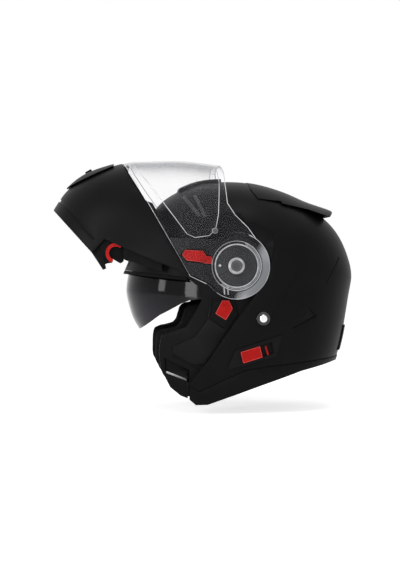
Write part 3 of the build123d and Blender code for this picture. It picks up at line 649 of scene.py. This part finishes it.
class HELMET_OT_finishes(bpy.types.Operator):
    """Makes the finishes and gives them to the frame's own nodes"""
    bl_idname = "helmet.finishes"
    bl_label = "Finishes"

    def execute(self, context):
        make_finishes(context.scene.helmet_finish)
        for names, material in FINISH_OF:
            for name in names:
                clothe(nodes[name], finish_named(material))
        return {"FINISHED"}


class HELMET_OT_shells(bpy.types.Operator):
    """Smooths the painted and moulded pieces and rounds their edges"""
    bl_idname = "helmet.shells"
    bl_label = "Painted shells"

    def execute(self, context):
        for name in PAINTED + MOULDED + PANELS:
            piece = copy_of(name, name + "_painted")
            clothe(piece, nodes[name].data.materials[0])
            round_edges(piece, context.scene.helmet_sizes.edge_round)
            smooth(piece, 28)
            keep_with(piece, body_of_node[name], replaced=(name,))
        return {"FINISHED"}


# The dark band along this line is painted shade, in the step that the chin bar closes against.
CHANNEL = ((0.0279, -0.0331), (-0.0584, -0.1456))
CHANNEL_HALF = 0.0034
CHANNEL_SHARES = (-0.02, 1.05)  # how far along its line the channel starts and ends
CHANNEL_Y = 0.085  # the channel is on the faces further out than this


def cut_across(piece, start, end_point):
    """Cuts a piece's mesh along a line of the side view."""
    run = side_run(start, end_point)[1]
    edit_all(piece)
    bpy.ops.mesh.bisect(plane_co=(start[0], 0, start[1]), plane_no=run.cross(Vector((0, 1, 0))).normalized())
    bpy.ops.mesh.select_all(action="DESELECT")
    bpy.ops.object.mode_set(mode="OBJECT")


def beside_line(point, start, end_point):
    """How far a point lies beside a line of the side view, and how far along it, from 0 to 1."""
    run_x, run_z = end_point[0] - start[0], end_point[1] - start[1]
    length = math.hypot(run_x, run_z)
    x, z = point.x - start[0], point.z - start[1]
    return (x * run_z - z * run_x) / length, (x * run_x + z * run_z) / length ** 2


class HELMET_OT_closing_line(bpy.types.Operator):
    """Paints shade in the dark rubber finish along the step on both sides of the shell that the chin bar
    closes against
    """
    bl_idname = "helmet.closing_line"
    bl_label = "Closing line"

    def execute(self, context):
        piece = bpy.data.objects["outer_shell_painted"]
        start, end_point = CHANNEL
        run = Vector((end_point[0] - start[0], end_point[1] - start[1])).normalized()
        for side in (-1, 1):
            x, z = run.y * CHANNEL_HALF * side, -run.x * CHANNEL_HALF * side
            cut_across(piece, (start[0] + x, start[1] + z), (end_point[0] + x, end_point[1] + z))
        piece.data.materials.append(finish_named("soft_rubber_and_shade"))
        low, high = CHANNEL_SHARES
        for face in piece.data.polygons:
            aside, along = beside_line(face.center, start, end_point)
            # Faces in the band take the dark finish: painted shade.
            if abs(aside) < CHANNEL_HALF and low < along < high and abs(face.center.y) > CHANNEL_Y:
                face.material_index = 1
        return {"FINISHED"}


class HELMET_OT_panel_lines(bpy.types.Operator):
    """Runs the dark joint line round each panel that is let into the shell"""
    bl_idname = "helmet.panel_lines"
    bl_label = "Panel lines"

    def execute(self, context):
        for name in PANELS:
            edge_bead(name, name + "_joint", 0.0005, "soft_rubber_and_shade")
        return {"FINISHED"}


LATCH_BOOT = ((-0.1690, 0.0010), (-0.1620, 0.0035), (-0.1560, 0.0045), (-0.1546, 0.0098), (-0.1440, 0.0035),
              (-0.1410, 0.0060), (-0.1405, 0.0300), (-0.1450, 0.0345), (-0.1640, 0.0345), (-0.1700, 0.0260))
LATCH_BOOT_Y = 0.0994
LATCH_BOOT_WALL = 0.0014


class HELMET_OT_latch_boots(bpy.types.Operator):
    """Adds the soft dark web behind each latch hook"""
    bl_idname = "helmet.latch_boots"
    bl_label = "Latch boots"

    def execute(self, context):
        for end, hand in SIDES:
            boot = added(f"latch_boot_{hand}", bpy.ops.mesh.primitive_circle_add, vertices=len(LATCH_BOOT),
                         radius=0.01, fill_type="NGON")
            settle(boot)
            for vertex, (x, z) in zip(boot.data.vertices, LATCH_BOOT):
                vertex.co = (x, end * LATCH_BOOT_Y, z)
            thicken(boot, LATCH_BOOT_WALL)
            apply_all(boot)
            face_outwards(boot)
            round_edges(boot, 0.0003)
            dress(boot, "soft_rubber_and_shade", "chin_bar")
            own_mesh(boot)
        return {"FINISHED"}


STRIKER_BAR = (0.0900, 0.0965)  # the bright bar lies between these two Y


class HELMET_OT_strikers(bpy.types.Operator):
    """Gives the striker bars a bright wearing face in their dark holders"""
    bl_idname = "helmet.strikers"
    bl_label = "Strikers"

    def execute(self, context):
        for name in STRIKERS:
            piece = copy_of(name, name + "_bar")
            clothe(piece, finish_named("grained_moulding"))
            piece.data.materials.append(finish_named("worn_steel"))
            for face in piece.data.polygons:
                if STRIKER_BAR[0] < abs(face.center.y) < STRIKER_BAR[1]:
                    face.material_index = 1
            round_edges(piece, 0.0003)
            smooth(piece, 30)
            keep_with(piece, body_of_node[name], replaced=(name,))
        return {"FINISHED"}


# Visors

LENS_HALF = 0.07  # further out than this, every face that looks along the side view is a cut edge
EDGE_LEAN = 0.06  # a cut edge's normal has less Y than this
EDGE_SHARE = 0.5  # and points away from the pivot axis by less than this share
HUB_SEAM = (0.020, 0.0435)  # radii between which the hub's circle runs into the lens


def on_cut_edge(face):
    """True on the cut edge of a clear sheet."""
    outwards = Vector((face.center.x, 0, face.center.z)).normalized()
    lies_across = abs(face.normal.dot(outwards)) < EDGE_SHARE
    return abs(face.normal.y) < EDGE_LEAN and (lies_across or abs(face.center.y) > LENS_HALF)


def on_hub_seam(point):
    """True where the hub's circle runs into the lens, which gets no painted edge highlight."""
    return HUB_SEAM[0] < math.hypot(point.x, point.z) < HUB_SEAM[1] and -0.5 * point.x + 0.3 * point.z > 0.004


class HELMET_OT_visors(bpy.types.Operator):
    """Gives the clear visor, its insert and the sun visor smooth sheets, the clear ones with a painted
    highlight on their cut edges
    """
    bl_idname = "helmet.visors"
    bl_label = "Visors"

    def execute(self, context):
        for name in ("clear_visor", "antifog_insert", "sun_visor"):
            piece = copy_of(name, name + "_sheet")
            clothe(piece, nodes[name].data.materials[0])
            if name != "sun_visor":
                # The cut edge faces take the pale edge finish, a painted highlight.
                piece.data.materials.append(finish_named("clear_sheet_edge"))
                for face in piece.data.polygons:
                    if on_cut_edge(face):
                        face.material_index = 1
            smooth(piece, 30)
            keep_with(piece, body_of_node[name], replaced=(name,))
        # Pale beads along the clear sheets' sharp edges: painted highlights.
        edge_bead("clear_visor", "clear_visor_bead", 0.0003, skip=on_hub_seam)
        edge_bead("antifog_insert", "antifog_insert_bead", 0.0004)
        return {"FINISHED"}


# Soft liner

CLOTH_PRESSURE = 4.0
CLOTH_QUALITY = 5
CLOTH_FRAMES = 18
SEAM_WIDTH = 0.0022
SEAM_REACH = 2.5  # a seam draws the cloth in as far out as this many of its widths
CHEEK_PANEL = 0.031  # radius of the knitted panel on a cheek pad's inner face
CHEEK_STRETCH = 1.15  # the panel is this much higher than it is long
CHEEK_FACE = 0.007  # the inner face lies within this of the pad's innermost Y
CROWN_PANEL = 0.030  # half the width of the knitted panel of the crown pad
CROWN_SEAM = 0.045  # how far ahead of and behind the middle its cross seams run


def swell(piece, voxel, rise, shrink):
    """Rebuilds a pad as fine cloth and lets it swell under pressure, no further than its rise."""
    remesh = piece.modifiers.new("cells", "REMESH")
    remesh.mode = "VOXEL"
    remesh.voxel_size = voxel
    apply_all(piece)
    inward = piece.modifiers.new("draw_in", "DISPLACE")
    inward.strength = -shrink
    inward.mid_level = 0
    even = piece.modifiers.new("even", "SMOOTH")
    even.iterations = 4
    apply_all(piece)
    start = [vertex.co.copy() for vertex in piece.data.vertices]
    scene = bpy.context.scene
    cloth = piece.modifiers.new("cloth", "CLOTH")
    cloth.settings.use_pressure = True
    cloth.settings.uniform_pressure_force = CLOTH_PRESSURE
    cloth.settings.effector_weights.gravity = 0
    cloth.settings.quality = CLOTH_QUALITY
    for moment in range(1, CLOTH_FRAMES + 1):
        scene.frame_set(moment)
    apply_all(piece)
    scene.frame_set(1)
    for vertex, place_at_start in zip(piece.data.vertices, start):
        moved = vertex.co - place_at_start
        if moved.length > rise:
            vertex.co = place_at_start + moved.normalized() * rise


def refine(piece):
    """Divides each face in four and shades the piece smooth."""
    finer = piece.modifiers.new("finer", "SUBSURF")
    finer.levels = 1
    finer.render_levels = 1
    apply_all(piece)
    bpy.ops.object.shade_smooth()


def padded_copy(name, voxel, rise, shrink):
    """A CAD pad as swollen cloth, fine enough for its seams."""
    pad = copy_of(name, name + "_padded")
    swell(pad, voxel, rise, shrink)
    refine(pad)
    return pad


def groove(piece, distance_to_seam, depth):
    """Pulls the surface in along a seam, given how far each point is from it."""
    normals = [vertex.normal.copy() for vertex in piece.data.vertices]
    for vertex, normal in zip(piece.data.vertices, normals):
        away = abs(distance_to_seam(vertex.co)) / SEAM_WIDTH
        if away < SEAM_REACH:
            vertex.co -= normal * depth * math.exp(-away * away)


def cover(pad, in_panel):
    """Brushed cloth over a pad, and open knit in its panel."""
    clothe(pad, finish_named("brushed_cloth"))
    pad.data.materials.append(finish_named("open_knit"))
    for face in pad.data.polygons:
        if in_panel(face.center):
            face.material_index = 1


class HELMET_OT_liner(bpy.types.Operator):
    """Makes the crown pad, the cheek pads and the neck roll as padded cloth"""
    bl_idname = "helmet.liner"
    bl_label = "Soft liner"

    def execute(self, context):
        sizes = context.scene.helmet_sizes
        voxel, rise = sizes.cloth_voxel, sizes.cloth_rise
        for name in ("cheek_pad_left", "cheek_pad_right"):
            pad = padded_copy(name, voxel, rise, 0.0016)
            low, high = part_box(name)
            middle = (low + high) / 2
            inner_y = low.y if abs(low.y) < abs(high.y) else high.y

            def to_panel_seam(point):
                on_face = math.hypot((point.x - middle.x) * CHEEK_STRETCH, point.z - middle.z)
                return on_face - CHEEK_PANEL if abs(point.y - inner_y) < CHEEK_FACE else 1

            groove(pad, to_panel_seam, 0.0016)
            cover(pad, lambda point: to_panel_seam(point) < 0)
            keep_with(pad, "shell", (name,))
        crown = padded_copy("crown_pad", voxel * 0.75, rise * 0.5, 0.0006)
        groove(crown, lambda point: abs(point.y) - CROWN_PANEL, 0.0014)
        groove(crown, lambda point: point.x + CROWN_SEAM if abs(point.y) < CROWN_PANEL else 1, 0.0012)
        groove(crown, lambda point: point.x - CROWN_SEAM if abs(point.y) < CROWN_PANEL else 1, 0.0012)
        cover(crown, lambda point: abs(point.y) < CROWN_PANEL)
        keep_with(crown, "shell", ("crown_pad",))
        roll = padded_copy("neck_roll", voxel, rise, 0.0010)
        clothe(roll, finish_named("brushed_cloth"))
        keep_with(roll, "shell", ("neck_roll",))
        return {"FINISHED"}


# Straps

STRAP_X, STRAP_HALF, STRAP_WALL = 0.0335, 0.011, 0.0018
STRAP_ROUTE = ((0.112, -0.076), (0.098, -0.093), (0.074, -0.115), (0.042, -0.136))
STRAP_ENDS = {"strap_left": (-1, (0.018, -0.143)), "strap_right": (1, (0.0268, -0.143))}
STRAP_BEND = 0.009
STRAP_SHARES = (-1, -0.6, -0.2, 0.2, 0.6, 1)  # places across a strap, as shares of its half width
CORNER_STEPS = 5
MAP_STEP, MAP_LENGTH = 0.2, 0.022  # share of the map per place across, and length of strap per map
THREADS = 5
THREAD_RADIUS = 0.0004


def rounded_route(points):
    """The route's straight runs with its corners turned along an arc."""
    route = [Vector(points[0])]
    for before, corner, after in zip(points, points[1:], points[2:]):
        before, corner, after = Vector(before), Vector(corner), Vector(after)
        back, ahead = (before - corner).normalized(), (after - corner).normalized()
        cut = min(STRAP_BEND / math.tan(back.angle(ahead) / 2), (before - corner).length * 0.45,
                  (after - corner).length * 0.45)
        for step in range(CORNER_STEPS + 1):
            share = step / CORNER_STEPS
            first = corner + back * cut * (1 - share)
            second = corner + ahead * cut * share
            route.append(first.lerp(second, share))
    route.append(Vector(points[-1]))
    return route


def webbing_mesh(name, route, end):
    """A flat band along a strap's route, with a map that runs along it."""
    mesh = bmesh.new()
    layer = mesh.loops.layers.uv.new("UVMap")
    rows, travelled = [], 0.0
    for index, point in enumerate(route):
        if index:
            travelled += (point - route[index - 1]).length
        row = [mesh.verts.new((STRAP_X + STRAP_HALF * across, end * point[0], point[1]))
               for across in STRAP_SHARES]
        rows.append((row, travelled))
    for (first, near), (second, far) in zip(rows, rows[1:]):
        for k in range(len(STRAP_SHARES) - 1):
            face = mesh.faces.new((first[k], first[k + 1], second[k + 1], second[k]))
            for loop, (u, v) in zip(face.loops, ((k, near), (k + 1, near), (k + 1, far), (k, far))):
                loop[layer].uv = (u * MAP_STEP, v / MAP_LENGTH)
    data = bpy.data.meshes.new(name)
    mesh.to_mesh(data)
    mesh.free()
    return data


def stitches(name, places, length, proud):
    """Short threads on the face of a strap, as one piece."""
    made = []
    for x, y, z in places:
        made.append(added(name, bpy.ops.mesh.primitive_cylinder_add, vertices=6, radius=THREAD_RADIUS,
                          depth=length * 0.7, location=(x, y, z - proud), rotation=(math.pi / 2, 0, 0)))
    bpy.ops.object.select_all(action="DESELECT")
    for thread in made:
        thread.select_set(True)
    bpy.context.view_layer.objects.active = made[0]
    bpy.ops.object.join()
    sewn = bpy.context.object
    settle(sewn)
    clothe(sewn, finish_named("stitch_thread"))
    keep_with(sewn, "shell")


class HELMET_OT_straps(bpy.types.Operator):
    """Makes the chin straps as flat woven webbing with sewn ends"""
    bl_idname = "helmet.straps"
    bl_label = "Chin straps"

    def execute(self, context):
        for name, (end, last) in STRAP_ENDS.items():
            route = rounded_route([*STRAP_ROUTE, last])
            piece = bpy.data.objects.new(name + "_webbing", webbing_mesh(name + "_webbing", route, end))
            context.scene.collection.objects.link(piece)
            thicken(piece, STRAP_WALL)
            selvedge = piece.modifiers.new("selvedge", "BEVEL")
            selvedge.width = 0.0005
            selvedge.segments = 2
            apply_all(piece)
            face_outwards(piece)
            smooth(piece, 40)
            clothe(piece, finish_named("strap_webbing"))
            keep_with(piece, "shell", (name,))
            sewn = []
            for across in (-0.8, 0.8):
                for step in range(THREADS):
                    y, z = route[-1].lerp(route[-2], 0.08 + step / THREADS * 0.8)
                    sewn.append((STRAP_X + STRAP_HALF * across, end * y, z))
            stitches(name + "_stitches", sewn, context.scene.helmet_sizes.stitch_length,
                     STRAP_WALL / 2 + 0.0001)
        return {"FINISHED"}


# Fittings

# Round fittings of both sides: name, outline, place with Y as on the right, finish, body, sides, slot,
# and whether the piece is hollow.
ROUND_FITTINGS = (
    ("plate_screw", ((0.0034, 0), (0.0034, 0.0004), (0.0030, 0.0007), (0.0021, 0.0007), (0.0019, 0.0003)),
     (-0.0209, 0.1190, 0.0005), "dark_washer", "chin_bar", 28, "steel", False),
    ("plate_screw_head", ((0.0017, 0), (0.0017, 0.0008), (0.0013, 0.0011), (0.0005, 0.0011),
                          (0.0004, 0.0006)),
     (-0.0209, 0.1190, 0.0005), "plain_steel", "chin_bar", 24, "steel", False),
    ("hub_disc", ((0.0257, 0), (0.0257, 0.0002), (0.0252, 0.0003), (0.0110, 0.0003), (0.0108, 0.0001)),
     (0, 0.1189, 0), "hinge_plate_moulding", "chin_bar", 64, "plate_plastic", False),
    # The rings on the clear hub are pale grey: painted highlights.
    ("ratchet_ring", ((0.0278, 0), (0.0278, 0.0006), (0.0274, 0.0009), (0.0264, 0.0009), (0.0260, 0.0006),
                      (0.0260, 0)), (0, 0.1222, 0), "moulded_ring", "visor", 72, "clear_sheet", True),
    ("hub_outer_ring", ((0.0314, 0), (0.0314, 0.0005), (0.0308, 0.0005), (0.0308, 0)),
     (0, 0.1222, 0), "moulded_ring", "visor", 72, "clear_sheet", True),
    ("hub_cap_ring", ((0.0100, 0), (0.0100, 0.0005), (0.0094, 0.0008), (0.0078, 0.0008), (0.0073, 0.0004),
                      (0.0073, 0)), (0, 0.1239, 0), "moulded_ring", "visor", 48, "clear_sheet", True),
    ("rivet_washer", ((0.0084, 0), (0.0084, 0.0010), (0.0078, 0.0016), (0.0052, 0.0016), (0.0050, 0.0012)),
     (0.0335, 0.1226, -0.066), "dark_washer", "shell", 48, "polished_stud", False))
DETENTS = (-0.0160, -0.0115)  # X of the two bars on each hub
LOCK_GRIPS = ((-0.0170, -0.0520), (-0.0130, -0.0545))
# Dark strips along the shell's creases: painted shade where the creases fall into shadow.
CREASE_SHADES = (((0.0817, -0.0025), (0.0466, -0.0600)), ((0.0466, -0.0600), (0.0366, -0.0800)),
           ((0.1366, 0.0113), (0.1166, -0.0225)))
# The brow ribs are laid in the lighter plate grey as a painted highlight.
BROW_RIBS = (((-0.0640, 0.0885), (-0.0455, 0.0625)), ((-0.0500, 0.0900), (-0.0385, 0.0610)))


class HELMET_OT_fittings(bpy.types.Operator):
    """Adds screws, grips, washers, the trim's ends and painted light: pale rings, detents and brow ribs as
    highlights, dark strips along the shell's creases as shade
    """
    bl_idname = "helmet.fittings"
    bl_label = "Fittings"

    def execute(self, context):
        bar("slider_mark", (0.0366, -0.0998), (0.0405, -0.1128), 0.0022, 0.0008, 0.1144, -1, "red_moulding",
            "shell")
        # Lighter red beads along the levers' edges: painted highlights.
        for name in LEVERS:
            edge_bead(name, name + "_edge", 0.00035, "red_edge_highlight")
        for index, (x, z) in enumerate(LOCK_GRIPS):
            bar(f"lock_grip_{index}", (x - 0.0022, z - 0.0030), (x + 0.0030, z + 0.0042), 0.0011, 0.0007,
                0.1122, -1, "red_moulding", "open_lock", 0.0003)
        shell = bpy.data.objects["outer_shell_painted"]
        for end, hand in SIDES:
            for name, outline, (x, y, z), *rest in ROUND_FITTINGS:
                turned(f"{name}_{hand}", outline, (x, end * y, z), end, *rest)
            # The detent bars are pale grey: painted highlights.
            for index, x in enumerate(DETENTS):
                bar(f"detent_{hand}_{index}", (x, -0.0255), (x + 0.0008, -0.0360), 0.0016, 0.0006, 0.1222,
                    end, "moulded_ring", "visor", 0.0002)
            # Each crease gets a thin dark strip: painted shade.
            for index, line in enumerate(CREASE_SHADES):
                laid_strip(f"crease_{hand}_{index}", line, 0.0016, 0.0004, shell, end, "soft_rubber_and_shade")
            for index, line in enumerate(BROW_RIBS):
                laid_strip(f"brow_rib_{hand}_{index}", line, 0.0042, 0.0007, shell, end,
                           "hinge_plate_moulding")
            bar(f"trim_end_{hand}", (-0.0600, -0.1475), (-0.0590, -0.1650), 0.0045, 0.0050, 0.0935, end,
                "grained_moulding", "shell", 0.0008)
        return {"FINISHED"}


# Stage

FLOOR_SIZE = 8
FLOOR_LIMIT = -0.187  # the floor is no higher than this
FLOOR_GAP = 0.0005
FLOOR_GLOW = 0.66  # the floor's own light, for the camera alone
ROOM_LIGHT = 0.45  # the room's light on the helmet; the camera sees it as 1
LAMPS = (  # name, place, size, power's name and share, aim
    ("key_lamp", (-0.55, -1.7, -0.05), (0.35, 0.9), "key_power", 1, (0, 0, -0.02)),
    ("side_lamp", (-1.3, -0.9, 0.5), (0.3, 1.0), "key_power", 0.8, (-0.1, 0, 0.05)),
    ("top_lamp", (0.1, -0.5, 1.5), (0.9, 0.4), "top_power", 1, (0, 0, 0)))


def lamp(name, place_at, size, power, aim):
    made = added(name, bpy.ops.object.light_add, type="AREA", location=place_at)
    made.data.shape = "RECTANGLE"
    made.data.size, made.data.size_y = size
    made.data.energy = power
    made.rotation_euler = (Vector(aim) - Vector(place_at)).to_track_quat("-Z", "Y").to_euler()


def white_to_view(tree, hidden, shown):
    """A value for what the camera sees straight on, in a mirror or through a sheet, and one for all else."""
    path = tree.nodes.new("ShaderNodeLightPath")
    seen = path.outputs["Is Camera Ray"]
    for kind in ("Is Glossy Ray", "Is Transmission Ray"):
        either = tree.nodes.new("ShaderNodeMath")
        either.operation = "MAXIMUM"
        tree.links.new(seen, either.inputs[0])
        tree.links.new(path.outputs[kind], either.inputs[1])
        seen = either.outputs[0]
    spread = tree.nodes.new("ShaderNodeMapRange")
    spread.inputs["To Min"].default_value = hidden
    spread.inputs["To Max"].default_value = shown
    tree.links.new(seen, spread.inputs["Value"])
    return spread.outputs["Result"]


def lay_floor():
    """A pale floor that glows for the camera, so that it shows as white as the room."""
    floor_z = min(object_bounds()[0][2], FLOOR_LIMIT) - FLOOR_GAP
    floor = added("floor", bpy.ops.mesh.primitive_plane_add, size=FLOOR_SIZE, location=(0, 0, floor_z))
    settle(floor)
    pale = surface("pale_floor", (0.92, 0.92, 0.92), 0.9, specular=0.1)
    tree = pale.node_tree
    glow = tree.nodes.new("ShaderNodeEmission")
    tree.links.new(white_to_view(tree, 0.0, FLOOR_GLOW), glow.inputs["Strength"])
    add = tree.nodes.new("ShaderNodeAddShader")
    tree.links.new(shader_of(pale).outputs[0], add.inputs[0])
    tree.links.new(glow.outputs[0], add.inputs[1])
    tree.links.new(add.outputs[0], tree.nodes["Material Output"].inputs["Surface"])
    clothe(floor, pale)
    floor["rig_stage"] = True


class HELMET_OT_stage(bpy.types.Operator):
    """Adds the floor, the lamps, the white surroundings and the camera"""
    bl_idname = "helmet.stage"
    bl_label = "Stage"

    def execute(self, context):
        view = context.scene.helmet_view
        lay_floor()
        world = bpy.data.worlds.new("white_room")
        world.use_nodes = True
        context.scene.world = world
        tree = world.node_tree
        back = tree.nodes["Background"]
        back.inputs["Color"].default_value = (1, 1, 1, 1)
        tree.links.new(white_to_view(tree, ROOM_LIGHT, 1.0), back.inputs["Strength"])
        for name, place_at, size, power, share, aim in LAMPS:
            lamp(name, place_at, size, getattr(view, power) * share, aim)
        direction = Vector((math.sin(view.turn) * math.cos(view.height),
                            -math.cos(view.turn) * math.cos(view.height), math.sin(view.height)))
        camera = added("camera", bpy.ops.object.camera_add,
                       location=Vector(view.aim) + direction * view.distance)
        camera.rotation_euler = (-direction).to_track_quat("-Z", "Y").to_euler()
        camera.data.sensor_fit = "VERTICAL"
        camera.data.lens = camera.data.sensor_height * view.distance / view.span
        camera.data.clip_end = 20
        context.scene.camera = camera
        context.scene.view_settings.view_transform = "Standard"
        return {"FINISHED"}


STEPS = (HELMET_OT_finishes, HELMET_OT_shells, HELMET_OT_closing_line, HELMET_OT_panel_lines,
         HELMET_OT_latch_boots, HELMET_OT_strikers, HELMET_OT_visors, HELMET_OT_liner, HELMET_OT_straps,
         HELMET_OT_fittings, HELMET_OT_stage)


class HELMET_PT_panel(bpy.types.Panel):
    """Lists the helmet's values and its steps"""
    bl_label = "Helmet"
    bl_idname = "HELMET_PT_panel"
    bl_space_type = "VIEW_3D"
    bl_region_type = "UI"
    bl_category = "Helmet"

    def draw(self, context):
        column = self.layout.column()
        for group, names in (("helmet_finish", HelmetFinish), ("helmet_sizes", HelmetSizes),
                             ("helmet_view", HelmetView)):
            for name in names.__annotations__:
                column.prop(getattr(context.scene, group), name)
        for step in STEPS:
            column.operator(step.bl_idname)


CLASSES = (HelmetFinish, HelmetSizes, HelmetView, *STEPS, HELMET_PT_panel)


def register():
    for item in CLASSES:
        bpy.utils.register_class(item)
    bpy.types.Scene.helmet_finish = bpy.props.PointerProperty(type=HelmetFinish)
    bpy.types.Scene.helmet_sizes = bpy.props.PointerProperty(type=HelmetSizes)
    bpy.types.Scene.helmet_view = bpy.props.PointerProperty(type=HelmetView)


def unregister():
    for name in ("helmet_finish", "helmet_sizes", "helmet_view"):
        delattr(bpy.types.Scene, name)
    for item in reversed(CLASSES):
        bpy.utils.unregister_class(item)


def main():
    register()
    bpy.ops.helmet.finishes()
    bpy.ops.helmet.shells()
    bpy.ops.helmet.closing_line()
    bpy.ops.helmet.panel_lines()
    bpy.ops.helmet.latch_boots()
    bpy.ops.helmet.strikers()
    bpy.ops.helmet.visors()
    bpy.ops.helmet.liner()
    bpy.ops.helmet.straps()
    bpy.ops.helmet.fittings()
    bpy.ops.helmet.stage()


if __name__ == "__main__":
    main()
